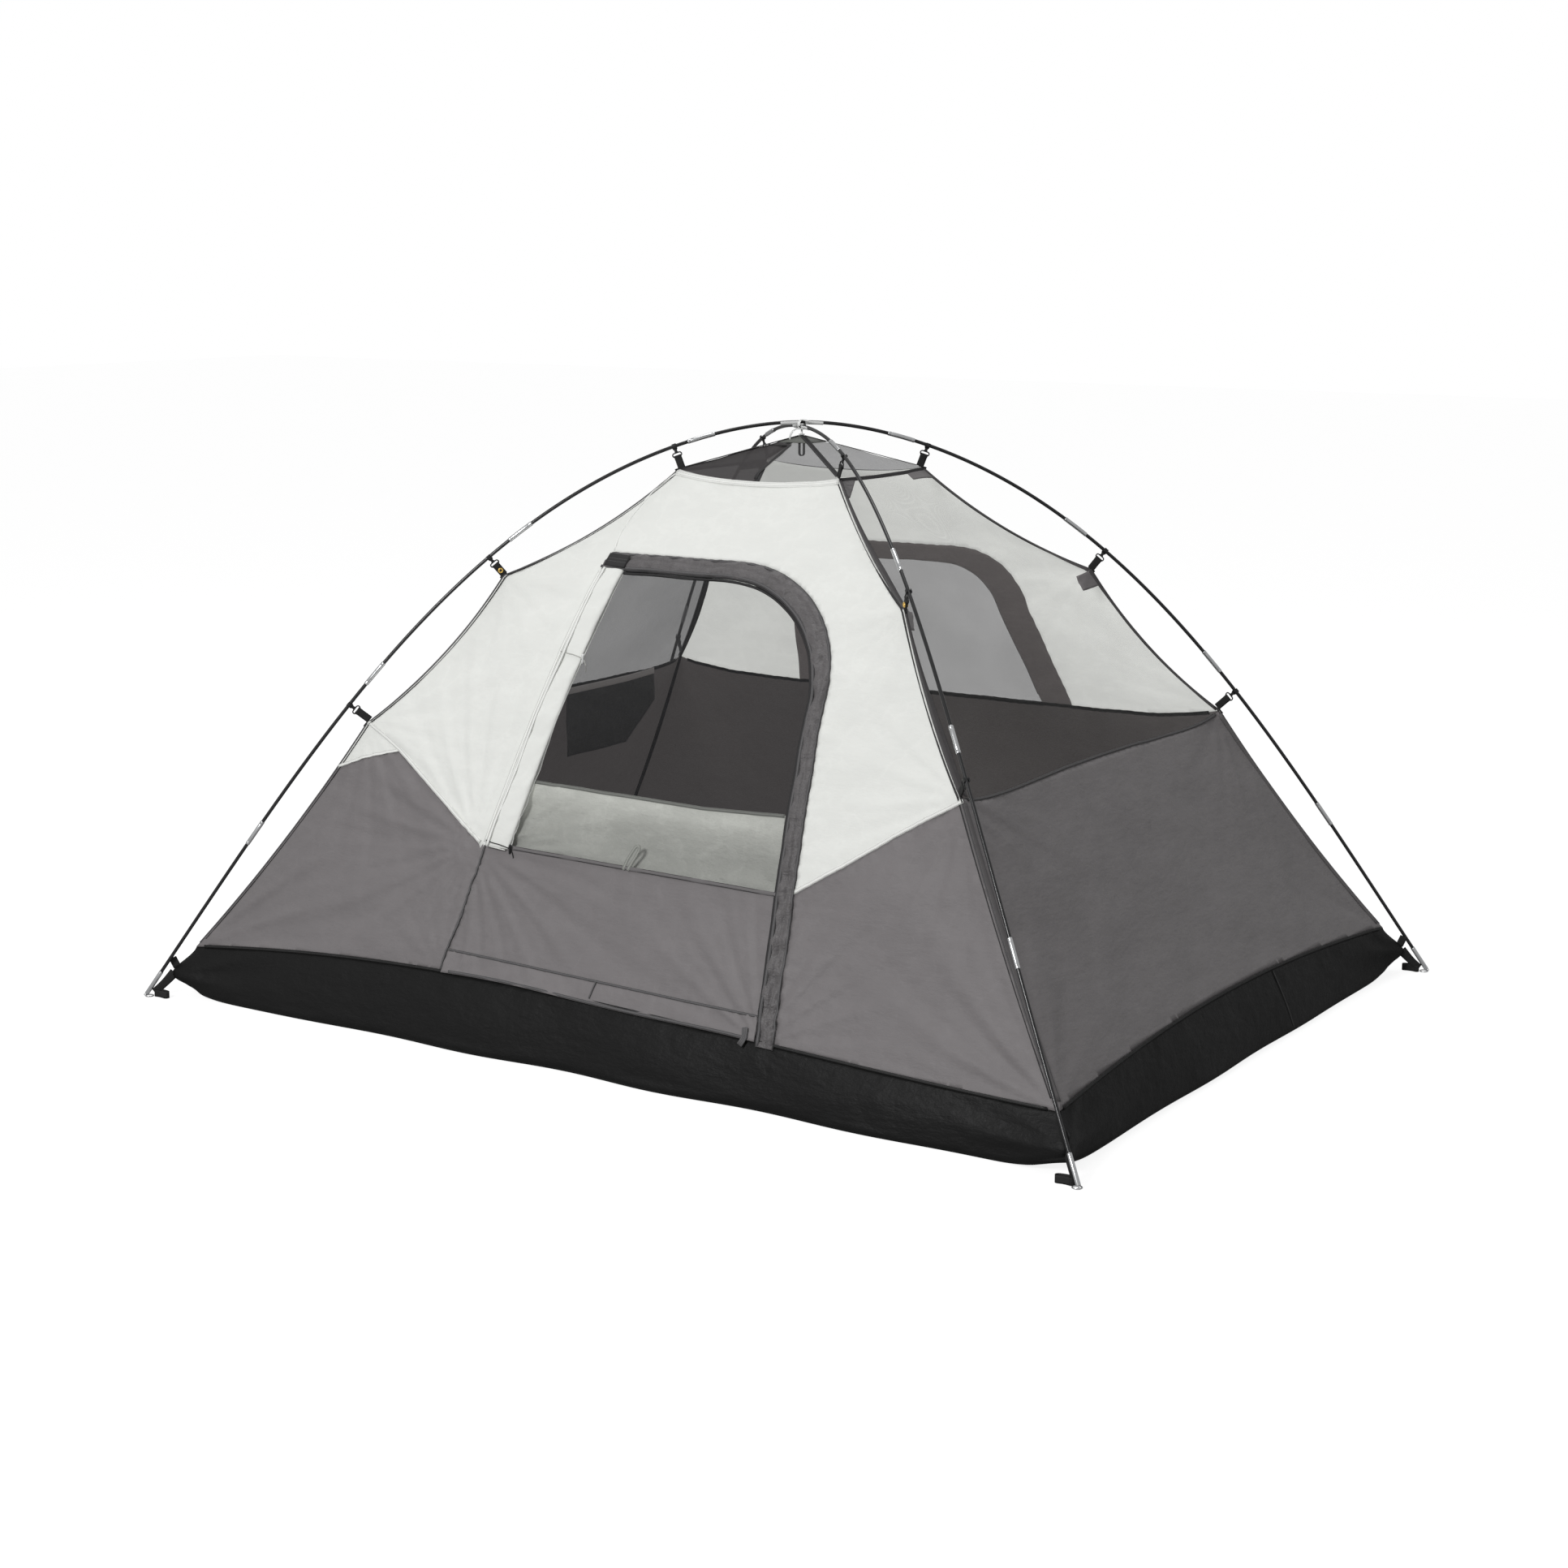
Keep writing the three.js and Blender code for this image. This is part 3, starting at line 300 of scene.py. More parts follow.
def hard(name, colour, rough, metal=0.0, grain=90.0, wear=0.1, bump=0.05, stretch=(1, 1, 1), coat=0.0):
    """Moulded plastic, glass fibre or metal: faint grain, smudges and uneven gloss."""
    n = Nodes(name)
    where = n.add("ShaderNodeMapping", {"Vector": place(n), "Scale": stretch}).outputs[0]
    smudge = n.noise(where, grain * 0.12, 4.0)
    fine = n.noise(where, grain, 2.0)
    n.shade(base_color=n.blend(smudge, tint(colour, 1 - wear), tint(colour, 1 + wear)))
    n.shade(roughness=n.ramp(smudge, 0.3, 0.7, rough * 0.85, min(1.0, rough * 1.2)), metallic=metal)
    n.shade(normal=n.bump(fine, bump, 0.0004))
    n.shade(coat_weight=coat, coat_roughness=0.15)
    return n.material


PALE = (0.80, 0.81, 0.78)
GREY = (0.186, 0.174, 0.177)
BAND = (0.122, 0.115, 0.117)
TUB = (0.0105, 0.0105, 0.0105)
DARK = (0.030, 0.029, 0.030)
MATS = {
    "pale": cloth("pale_polyester", PALE, rough=0.66, crinkle=0.35, variation=0.02),
    "grey": cloth("grey_polyester", GREY, rough=0.58, crinkle=0.55, variation=0.06),
    "band": cloth("storm_flap_polyester", BAND, rough=0.44, crinkle=1.9, variation=0.22),
    "tub": cloth("tub_laminate", TUB, rough=0.50, crinkle=0.8, variation=0.12, sheen=0.0, gloss=0.16),
    # The lining glows: painted light, rising with height to a painted highlight along its top.
    "inner": cloth("grey_green_lining", (0.55, 0.56, 0.52), rough=0.42, crinkle=1.2, glow=0.42,
                   lit=(0.52, 0.66)),
    # The inside copies glow: painted light that stands in for daylight coming through the cloth.
    "pale_inside": cloth("pale_polyester_inside", PALE, rough=0.66, crinkle=0.35, variation=0.02, glow=0.74),
    "grey_inside": cloth("grey_polyester_inside", (0.105, 0.095, 0.093), rough=0.6, crinkle=0.5, glow=0.38),
    "band_inside": cloth("band_inside", (0.115, 0.103, 0.101), rough=0.6, crinkle=0.9, variation=0.1,
                         glow=0.62),
    "net": netting("netting", (0.11, 0.11, 0.11), cover=0.27),
    "roof_net": netting("roof_netting", (0.085, 0.085, 0.087), cover=0.46),
    # Nearly opaque dark netting: painted shade where the roof is seen against the shaded inside.
    "vent_net": netting("roof_vent_netting", (0.050, 0.046, 0.047), cover=0.90),
    "window_net": netting("window_netting", (0.10, 0.095, 0.098), cover=0.62),
    "left_net": netting("shaded_netting", (0.090, 0.090, 0.098), cover=0.76),
    "door_net": netting("door_netting", (0.055, 0.055, 0.058), cover=0.26),
    "pocket": cloth("pocket_cloth", (0.036, 0.036, 0.036), rough=0.7, crinkle=0.6),
    "pale_seam": stitched("pale_felled_seam", (0.84, 0.85, 0.82), (0.50, 0.50, 0.48), (-0.0032, 0.0032)),
    "grey_seam": stitched("grey_felled_seam", (0.115, 0.112, 0.115), (0.05, 0.05, 0.05), (-0.0022, 0.0022)),
    "ridge_tape": stitched("ridge_tape", (0.082, 0.077, 0.079), (0.13, 0.13, 0.13), (-0.0065, 0.0065)),
    "ridge_seam": stitched("ridge_seam", (0.150, 0.142, 0.144), (0.07, 0.07, 0.07), (-0.0075, 0.0075)),
    "door_hem": stitched("door_hem", (0.15, 0.143, 0.145), (0.035, 0.033, 0.034), (-0.0040, 0.0040),
                         length=0.2),
    "peak": cloth("peak_patch", (0.125, 0.130, 0.118), rough=0.6, crinkle=0.9, variation=0.10),
    "dark_tape": stitched("dark_seam_tape", DARK, (0.09, 0.09, 0.09), (-0.0045, 0.0045)),
    "black_seam": stitched("tub_seam_tape", (0.012, 0.012, 0.012), (0.05, 0.05, 0.05), (0.0,), rough=0.5),
    "webbing": webbing("black_webbing", (0.018, 0.018, 0.018)),
    "zip": stitched("zip_tape", (0.03, 0.03, 0.03), (0.10, 0.10, 0.10), (0.0045,)),
    "coil": hard("zip_coil", (0.035, 0.035, 0.035), 0.4),
    "rod": hard("glass_fibre_rod", (0.012, 0.012, 0.013), 0.30, grain=60, wear=0.25, bump=0.006, coat=0.25),
    "steel": hard("bright_steel", (0.80, 0.81, 0.82), 0.24, metal=1.0, grain=80, wear=0.06, bump=0.006),
    "plastic": hard("black_acetal", (0.014, 0.014, 0.015), 0.38, grain=500, wear=0.2, bump=0.12),
    "clear": hard("milky_plastic", (0.88, 0.89, 0.88), 0.25, grain=60, wear=0.04, bump=0.01, coat=0.3),
    "brass": hard("brass_eyelet", (0.90, 0.60, 0.16), 0.30, metal=0.6, grain=80, wear=0.08, bump=0.006),
    "cord": webbing("toggle_cord", (0.020, 0.020, 0.020)),
    "pale_cord": webbing("pale_toggle_cord", (0.40, 0.40, 0.38)),
    # The pocket's hem glows: painted light that makes it lighter.
    "pocket_hem": cloth("pocket_hem", (0.155, 0.145, 0.141), rough=0.6, crinkle=0.5, glow=0.42),
    "inner_hem": stitched("lining_hem", (0.30, 0.31, 0.285), (0.16, 0.16, 0.15), (-0.0025, 0.0025)),
    "gusset": cloth("hinge_gusset_cloth", (0.20, 0.20, 0.20), rough=0.65),
    "zip_metal": hard("zip_metal", (0.30, 0.30, 0.31), 0.3, metal=1.0, grain=300, wear=0.2),
}
MATS["clear"].node_tree.nodes["Principled BSDF"].inputs["Transmission Weight"].default_value = 0.08

# ------------------------------------------------------------------ mesh helpers

UP = np.array([0.0, 0.0, 1.0])


def mesh_object(name, verts, faces, looks, body="tent", uv=None, thickness=0.0, node=None):
    """Makes a piece, which may stand for a CAD node. Its two looks are outside and inside if it is thick."""
    data = bpy.data.meshes.new(name)
    data.from_pydata([tuple(map(float, v)) for v in verts], [], [tuple(map(int, f)) for f in faces])
    for look in looks if isinstance(looks, list) else [looks]:
        data.materials.append(MATS[look])
    if uv is not None:
        layer = data.uv_layers.new(name="cut")
        corners = np.zeros(len(data.loops), np.int32)
        data.loops.foreach_get("vertex_index", corners)
        layer.data.foreach_set("uv", np.asarray(uv, np.float32)[corners].ravel())
    data.validate()
    data.polygons.foreach_set("use_smooth", [True] * len(data.polygons))
    data.update()
    piece = bpy.data.objects.new(name, data)
    bpy.context.scene.collection.objects.link(piece)
    if thickness:
        solid = piece.modifiers.new("thickness", "SOLIDIFY")
        solid.thickness = thickness
        solid.offset = -1.0
        solid.material_offset = len(data.materials) - 1
    if body:
        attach(piece, body)
    if node:
        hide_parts(node)
    return piece


def grid_faces(rows, columns, closed_rows=False, closed_columns=False):
    """Four-sided faces of a grid of points numbered row by row."""
    faces = []
    for i in range(rows if closed_rows else rows - 1):
        here, above = i * columns, (i + 1) % rows * columns
        for j in range(columns if closed_columns else columns - 1):
            beside = (j + 1) % columns
            faces.append((here + j, here + beside, above + beside, above + j))
    return faces


def capped(rows, ring):
    """Faces of a closed bar: its sides and a cap at each end."""
    caps = [tuple(range(ring))[::-1], tuple(range((rows - 1) * ring, rows * ring))]
    return grid_faces(rows, ring, closed_columns=True) + caps


def fan(count, tip):
    """Triangles from the ring of points just before the tip to the tip."""
    return [(tip - count + j, tip - count + (j + 1) % count, tip) for j in range(count)]


def unit(vectors):
    return vectors / np.maximum(np.linalg.norm(vectors, axis=-1, keepdims=True), 1e-12)


def tangents(points):
    return unit(np.gradient(points, axis=0))


def densify(points, step):
    """The same line with points about one step apart."""
    points = np.asarray(points, float)
    along = length_along(points)
    at = np.linspace(0, along[-1], max(2, int(math.ceil(along[-1] / step)) + 1))
    return np.stack([np.interp(at, along, points[:, k]) for k in range(points.shape[1])], axis=1)


def smooth_line(points, step, passes=8):
    """The same line with its corners rounded off."""
    line = densify(points, step)
    for _ in range(passes):
        line[1:-1] = (line[:-2] + 2 * line[1:-1] + line[2:]) / 4
    return line


def length_along(points):
    return np.concatenate([[0], np.cumsum(np.linalg.norm(np.diff(points, axis=0), axis=1))])


class Parts:
    """Gathers closed shapes, each of them (points, faces, uv), into one mesh."""

    def __init__(self, *shapes):
        self.verts, self.faces, self.marks, self.uv = [], [], [], []
        for shape in shapes:
            self.add(shape)

    def add(self, shape, mark=0):
        """Adds a shape that takes the piece's look of that number."""
        verts, faces, uv = shape
        start = len(self.verts)
        self.verts.extend(np.asarray(verts, float).tolist())
        self.uv.extend(np.asarray(uv, float).tolist())
        self.faces.extend([tuple(start + i for i in f) for f in faces])
        self.marks.extend([mark] * len(faces))

    def build(self, name, looks, body="tent", bevel=0.0, node=None):
        piece = mesh_object(name, self.verts, self.faces, looks, body, uv=self.uv, node=node)
        piece.data.polygons.foreach_set("material_index", self.marks)
        shape = bmesh.new()
        shape.from_mesh(piece.data)
        bmesh.ops.recalc_face_normals(shape, faces=shape.faces)
        shape.to_mesh(piece.data)
        shape.free()
        if bevel:
            rounding = piece.modifiers.new("rounding", "BEVEL")
            rounding.width = bevel
            rounding.segments = 2
            rounding.limit_method = "ANGLE"
            rounding.angle_limit = math.radians(40)
        return piece


def circle(centre, one, other, radius, count=24):
    """Points round a circle that lies along two directions."""
    turn = np.linspace(0, 2 * math.pi, count, endpoint=False)[:, None]
    return centre + np.cos(turn) * one * radius + np.sin(turn) * other * radius


def tube(points, radius, sides=8, up=(0, 0, 1), closed=False):
    """A round bar along a line; radius may be one number per point."""
    points = np.asarray(points, float)
    count = len(points)
    along = unit(np.roll(points, -1, axis=0) - np.roll(points, 1, axis=0)) if closed else tangents(points)
    side = unit(np.cross(np.asarray(up, float), along))
    other = np.cross(along, side)
    radius = np.broadcast_to(np.asarray(radius, float), (count,))
    angle = np.linspace(0, 2 * math.pi, sides, endpoint=False)
    ring = side[:, None] * np.cos(angle)[:, None] + other[:, None] * np.sin(angle)[:, None]
    verts = (points[:, None] + ring * radius[:, None, None]).reshape(-1, 3)
    faces = [f[::-1] for f in grid_faces(count, sides, closed_rows=closed, closed_columns=True)]
    if not closed:
        faces += [tuple(range(sides))[::-1], tuple(range(len(verts) - sides, len(verts)))]
    uv = np.stack([np.repeat(length_along(points), sides), np.tile(angle * radius.mean(), count)], axis=1)
    return verts, faces, uv


def lathe(profile, origin, axis, sides):
    """A closed shape turned about an axis; the profile is (radius, distance along it)."""
    axis = unit(np.asarray(axis, float))
    side = np.cross((0, 0, 1.0), axis)
    side = unit(np.cross((1.0, 0, 0), axis) if np.linalg.norm(side) < 1e-6 else side)
    angle = np.linspace(0, 2 * math.pi, sides, endpoint=False)[:, None]
    spokes = side * np.cos(angle) + np.cross(axis, side) * np.sin(angle)
    verts = np.concatenate([origin + axis * along + spokes * radius for radius, along in profile])
    return verts, capped(len(profile), sides), verts[:, :2]


def block(size, centre, axes):
    """A box given its size, its centre and its three axes."""
    corners = np.array([(i, j, k) for k in (-1, 1) for j in (-1, 1) for i in (-1, 1)])
    verts = centre + corners * np.asarray(size) / 2 @ np.asarray(axes, float)
    faces = [(0, 2, 3, 1), (4, 5, 7, 6), (0, 1, 5, 4), (2, 6, 7, 3), (0, 4, 6, 2), (1, 3, 7, 5)]
    return verts, faces, verts[:, :2]


def ribbon(points, normals, width, thick=0.0012, columns=5, crown=0.0):
    """A closed flat strap along a line, its face along the normals."""
    points = np.asarray(points, float)
    normals = unit(np.broadcast_to(np.asarray(normals, float), points.shape))
    along = tangents(points)
    side = unit(np.cross(normals, along))
    normals = unit(np.cross(along, side))
    run = length_along(points)
    width = np.broadcast_to(np.asarray(width, float), run.shape)
    share = np.linspace(-0.5, 0.5, columns)
    rows, uvs = [], []
    for k, lift in [(k, thick / 2) for k in share] + [(k, -thick / 2) for k in share[::-1]]:
        rows.append(points + side * (k * width)[:, None] + normals * (lift + crown * (1 - (2 * k) ** 2)))
        uvs.append(np.stack([run, k * width], axis=1))
    verts, uv = np.stack(rows, axis=1).reshape(-1, 3), np.stack(uvs, axis=1).reshape(-1, 2)
    return verts, capped(len(points), 2 * columns), uv


# ------------------------------------------------------------------ the tent's walls

# Each corner's side in X and in Y, and the pole that stands there.
CORNERS = {"front_left": (-1, -1, "a"), "front_right": (1, -1, "b"), "back_right": (1, 1, "a"),
           "back_left": (-1, 1, "b")}
# Stations of the ridge seams, from the tub to the peak, as in the CAD.
RIDGE = np.array([(1.330, 1.007, 0.135), (0.921, 0.744, 0.761), (0.626, 0.511, 1.161),
                  (0.253, 0.217, 1.445), (0.0, 0.0, 1.533)])
SCALLOP = np.array([0.015, 0.026, 0.026, 0.0])
MIDDLE_SHARE = 0.35
ROUNDING = 0.4
# How near the ridge the walls reach, as a share of the way out to it.
EDGE_SHARE = 0.9985
HOLLOW = 0.014
STATION_RISE = RIDGE[1, 2] - RIDGE[0, 2]
TUB_BOW, TUB_LEAN = 0.046, -0.040
DROOP_LONG, DROOP_SHORT = 0.063, 0.012
SIDE_RISE = 0.03


def ridge_point(v, share):
    """A point on the ridge between the walls; share is how deep it sags between its stations."""
    v, share = np.broadcast_arrays(np.asarray(v, float), np.asarray(share, float))
    number = np.clip(np.floor(v).astype(int), 0, 3)
    t = v - number
    low, high = RIDGE[number], RIDGE[number + 1]
    point = low + (high - low) * t[..., None]
    outward = unit((low + high)[..., :2])
    rise = high[..., 2] - low[..., 2]
    reach = (outward * (high - low)[..., :2]).sum(-1)
    size = np.hypot(rise, reach)
    sag = SCALLOP[number] * share * 4 * t * (1 - t)
    point[..., :2] -= outward * (sag * rise / size)[..., None]
    point[..., 2] += sag * reach / size
    return point


def rounded_ridge(v, share):
    """The same with the corners at its stations rounded off."""
    reach = np.minimum(np.minimum(ROUNDING, v / 2), np.abs(3 - v) / 2)
    return sum(ridge_point(v + reach * k, share) for k in (-1, -0.5, 0, 0.5, 1)) / 5


class Wall:
    """One side of the tent, along X (axis 0) or Y (axis 1). Places on it are (across, height)."""

    def __init__(self, name, axis, sign, bow, droop, lean=0.0):
        self.name, self.axis, self.sign = name, axis, sign
        self.bow, self.droop, self.lean = bow, droop, lean
        self.fans, self.seams, self.taut, self.seed = [], [], [], len(name)

    def at(self, t, v):
        """A point given as a share of the way out to the ridge, -1 to 1, and a ridge station."""
        t, v = np.broadcast_arrays(np.asarray(t, float), np.asarray(v, float))
        share = MIDDLE_SHARE + (1 - MIDDLE_SHARE) * t * t
        edge = (t ** 6)[..., None]
        point = rounded_ridge(v, share) * (1 - edge) + ridge_point(v, share) * edge
        hollow = HOLLOW * (1 - t * t) * np.sin(math.pi * np.minimum(v / 3, 1))
        point[..., self.axis] *= t
        point[..., 1 - self.axis] = self.sign * (point[..., 1 - self.axis] - hollow)
        return point

    def params(self, across, height):
        """The (t, v) of a place, found step by step."""
        v, t = np.ones_like(across), np.zeros_like(across)
        for _ in range(40):
            point = self.at(t, v)
            half = ridge_point(v, 1.0)[..., self.axis]
            v = np.clip(v + (height - point[..., 2]) / 0.45, -0.3, 3.6)
            t = np.clip(t + (across - point[..., self.axis]) / half, -1.05, 1.05)
        return t, v

    def bare(self, across, height):
        """(point, outward normal, t, v) of the taut cloth."""
        t, v = self.params(across, height)
        small = 1e-3
        sideways = self.at(t + small, v) - self.at(t - small, v)
        upward = self.at(t, v + small) - self.at(t, v - small)
        normal = unit(np.cross(sideways, upward))
        outward = normal[..., 1 - self.axis] * self.sign
        return self.at(t, v), normal * np.where(outward < 0, -1, 1)[..., None], t, v

    def folds(self, across, height, t, v):
        """How far the cloth stands out from its taut surface: sags, pulls and puckers."""
        spot = np.stack([across, height], -1)
        out = 0.0034 * ripple(spot, 0.42, self.seed) + 0.0016 * ripple(spot, 0.16, self.seed + 1)
        out += 0.0007 * ripple(spot * (1.0, 0.45), 0.060, self.seed + 2)
        for x, z, reach, amount, waves, phase in self.fans:
            dx, dz = across - x, height - z
            r = np.hypot(dx, dz)
            angle = np.arctan2(dz, dx)
            fade = np.exp(-((r / reach) ** 1.4)) * r / (r + 0.07)
            pull = np.sin(waves * angle + phase) + 0.5 * np.sin(2.3 * waves * angle + 2.1 * phase + 9 * r)
            out += amount * fade * pull
        for line, amount, wave, reach in self.seams:
            gap, run = nearest_on(spot, line)
            jitter = 0.8 * np.sin(run * 23 + self.seed) + 0.5 * np.sin(run * 57)
            out += amount * np.exp(-((gap / reach) ** 1.2)) * np.sin(2 * math.pi * run / wave + jitter)
        for line, reach in self.taut:
            out *= smoothstep(nearest_on(spot, line)[0] / reach)
        side = (1 - np.abs(t)) * np.abs(ridge_point(v, 1.0)[..., self.axis])
        foot = (v - self.tub_station(t)) * STATION_RISE
        head = np.abs(self.roof_station(t) - v) * 0.4
        return out * smoothstep(side / 0.06) * smoothstep(foot / 0.05 + 0.15) * smoothstep(head / 0.05 + 0.1)

    def surface(self, across, height, lift=0.0):
        """(point, outward normal) of the folded cloth, or of something lifted off it."""
        across, height = np.broadcast_arrays(np.asarray(across, float), np.asarray(height, float))
        point, normal, t, v = self.bare(across, height)
        return point + normal * (self.folds(across, height, t, v) + lift)[..., None], normal

    def tub_station(self, t):
        return (self.bow + self.lean * t) * (1 - t * t) / STATION_RISE

    def roof_station(self, t):
        return 3 - self.droop * (1 - t * t)

    def spot(self, t, v):
        """(across, height) of a place given as wall parameters."""
        return self.at(t, v)[..., [self.axis, 2]]

    def edge(self):
        """The wall's outline, once round."""
        up = np.linspace(0, 1, 130)
        over = np.linspace(-1, 1, 120) * EDGE_SHARE
        right = self.spot(EDGE_SHARE, up * 3)
        left = self.spot(-EDGE_SHARE, up * 3)
        foot = self.spot(over, self.tub_station(over))
        head = self.spot(over, self.roof_station(over))
        return np.concatenate([foot[:-1], right[:-1], head[::-1][:-1], left[::-1][:-1]])


def smoothstep(x):
    x = np.clip(x, 0, 1)
    return x * x * (3 - 2 * x)


def ripple(spot, wave, seed, count=7):
    """A smooth random surface of about one wavelength, between about -1 and 1."""
    dice = np.random.default_rng(seed)
    out = np.zeros(spot.shape[:-1])
    for _ in range(count):
        angle, phase = dice.uniform(0, math.pi), dice.uniform(0, 2 * math.pi)
        size = wave * dice.uniform(0.75, 1.35)
        run = spot[..., 0] * math.cos(angle) + spot[..., 1] * math.sin(angle)
        out += np.sin(run * 2 * math.pi / size + phase)
    return out / math.sqrt(count) / 1.4


def nearest_on(spot, line):
    """(distance to a line, how far along it) for many places."""
    line = np.asarray(line, float)
    run = length_along(line)
    best = np.full(spot.shape[:-1], 1e9)
    at = np.zeros(spot.shape[:-1])
    for i in range(len(line) - 1):
        a, b = line[i], line[i + 1]
        d = b - a
        t = np.clip(((spot - a) @ d) / (d @ d), 0, 1)
        gap = np.linalg.norm(spot - a - t[..., None] * d, axis=-1)
        closer = gap < best
        best = np.where(closer, gap, best)
        at = np.where(closer, run[i] + t * (run[i + 1] - run[i]), at)
    return best, at


def inside(spot, loop):
    """Which places lie inside a closed outline."""
    loop = np.asarray(loop, float)
    x, z = spot[..., 0], spot[..., 1]
    hit = np.zeros(x.shape, bool)
    for (ax, az), (bx, bz) in zip(loop, np.roll(loop, -1, axis=0)):
        cross = (az > z) != (bz > z)
        with np.errstate(divide="ignore", invalid="ignore"):
            hit ^= cross & (x < (bx - ax) * (z - az) / (bz - az) + ax)
    return hit


FRONT = Wall("front", 0, -1, TUB_BOW, DROOP_LONG, TUB_LEAN)
BACK = Wall("back", 0, 1, TUB_BOW, DROOP_LONG)
RIGHT = Wall("right", 1, 1, TUB_BOW, DROOP_SHORT)
LEFT = Wall("left", 1, -1, TUB_BOW, DROOP_SHORT)

# ------------------------------------------------------------------ outlines on the walls

HINGE_TOP = np.array([-0.337, 1.194])
HINGE_FOOT = np.array([-0.485, 0.140])
# The door's arch and the storm flap's outer arch: where the top stops being straight, the size of the
# curve, the height at which it starts, the height of the top, and how far right the leg stands at its foot.
DOOR = {"straight": 0.060, "radius": 0.368, "spring": 0.896, "top": 1.190, "foot": 0.512}
STORM = {"straight": 0.080, "radius": 0.390, "spring": 0.936, "top": 1.234, "foot": 0.563}
FOOT_Z = 0.140
# Heights of the window's lower hem at its two ends, and where those ends are.
HEM, HEM_LEFT, HEM_LONG = (0.504, 0.488), -0.460, 0.930
# Widths of the rolled cover at its top and foot, and the height of the inner cover's edge.
ROLL_TOP, ROLL_FOOT = 0.072, 0.080
INNER_TOP = 0.673


def hinge_x(z):
    """How far right the door's hinge is at a height."""
    wide, tall = HINGE_TOP - HINGE_FOOT
    return HINGE_FOOT[0] + wide * (z - HINGE_FOOT[1]) / tall


def by_hinge(shift, heights):
    """Places a set distance to the right of the door's hinge."""
    return np.array([(hinge_x(z) + shift, z) for z in heights])


def arch_line(arch, shift=0.0, foot=FOOT_Z, left=None):
    """Open outline of the doorway from the foot of its right leg, over the top, to its hinge."""
    spring_x = arch["straight"] + arch["radius"]
    angle = np.linspace(0, math.pi / 2, 26)
    curve = np.stack([arch["straight"] + (arch["radius"] + shift) * np.cos(angle),
                      arch["spring"] + (arch["top"] + shift - arch["spring"]) * np.sin(angle)], -1)
    top = arch["top"] + shift
    start_x = arch["foot"] + shift + (spring_x - arch["foot"]) * (foot - FOOT_Z) / (arch["spring"] - FOOT_Z)
    end = [(hinge_x(top) - shift if left is None else left, top)]
    return densify(np.concatenate([[(start_x, foot)], curve, end]), 0.010)


def hem_z(x):
    """The height of the window's lower hem."""
    return HEM[0] + (HEM[1] - HEM[0]) * (x - HEM_LEFT) / HEM_LONG


def roll_edge(z):
    """How far right the rolled cover reaches at a height."""
    return hinge_x(z) + ROLL_FOOT + (ROLL_TOP - ROLL_FOOT) * (z - HEM[0]) / (HINGE_TOP[1] - HEM[0])


# The seams over the front wall's two lower panels, drawn on past the wall's edges.
LOWER_LEFT = np.array([(-1.500, 0.438), (-1.100, 0.594), (-0.897, 0.673), (-0.800, 0.699), (-0.459, 0.502),
                       (-0.400, 0.476)])
LOWER_RIGHT = np.array([(1.500, 1.110), (0.930, 0.752), (0.762, 0.653), (0.639, 0.568), (0.518, 0.494),
                        (0.400, 0.432)])
DOOR_LOOP = np.concatenate([[(HINGE_FOOT[0] - 0.014, 0.04)], [(DOOR["foot"] + 0.006, 0.04)], arch_line(DOOR)])
STORM_LOOP = np.concatenate([[(HINGE_FOOT[0] - 0.014, 0.04)], [(STORM["foot"] + 0.007, 0.04)],
                             arch_line(STORM, left=float(hinge_x(1.19)) - 0.001), [(HINGE_TOP[0], 1.19)]])
LOWER_LEFT_LOOP = np.concatenate([LOWER_LEFT, [(-0.400, 0.02), (-1.500, 0.02)]])
LOWER_RIGHT_LOOP = np.concatenate([LOWER_RIGHT, [(0.400, 0.02), (1.500, 0.02)]])

# Pulls in the cloth: x, z, reach, height, number of folds round, phase.
FRONT.fans = [(-0.921, 0.761, 0.30, 0.0040, 17, 0.4), (0.921, 0.761, 0.30, 0.0040, 17, 1.3),
              (-0.626, 1.161, 0.22, 0.0026, 15, 2.2), (0.626, 1.161, 0.22, 0.0026, 15, 0.1),
              (-0.253, 1.445, 0.15, 0.0022, 13, 1.9), (0.253, 1.445, 0.15, 0.0022, 13, 0.7),
              (-1.330, 0.135, 0.50, 0.0070, 19, 0.3), (1.330, 0.135, 0.40, 0.0065, 17, 2.9),
              (-0.470, 0.496, 0.42, 0.0046, 23, 0.9), (-0.480, 0.185, 0.16, 0.0032, 17, 1.1),
              (0.520, 0.160, 0.30, 0.0052, 19, 0.2), (-0.337, 1.205, 0.10, 0.0018, 13, 0.6)]
BACK.fans = [(s * x, z, 0.28, 0.0028, 16, p) for s in (-1, 1)
             for x, z, p in ((0.921, 0.761, 0.5), (0.626, 1.161, 1.4), (1.330, 0.135, 2.0))]
for wall in (LEFT, RIGHT):
    wall.fans = [(s * y, z, 0.26, 0.0026, 15, p + wall.sign) for s in (-1, 1)
                 for y, z, p in ((0.744, 0.761, 0.5), (0.511, 1.161, 1.4), (1.007, 0.135, 2.0))]

STORM_OUTER = arch_line(STORM, left=float(hinge_x(1.234)))
LEFT_SEAM = np.array([(-0.921, 0.761), (-0.800, 0.699), (-0.640, 0.606), (-0.459, 0.502)])
RIGHT_SEAM = np.array([(0.930, 0.752), (0.762, 0.653), (0.639, 0.568), (0.518, 0.494)])
FOOT_SEAM = np.array([(-0.470, 0.240), (-0.264, 0.235), (0.219, 0.222), (0.500, 0.215)])
FRONT.seams = [(STORM_OUTER[::4], 0.0011, 0.034, 0.030), (LEFT_SEAM, 0.0009, 0.030, 0.024),
               (RIGHT_SEAM, 0.0010, 0.032, 0.028), (by_hinge(0.0, (0.502, 0.16)), 0.0011, 0.026, 0.020),
               (FOOT_SEAM, 0.0010, 0.036, 0.020)]
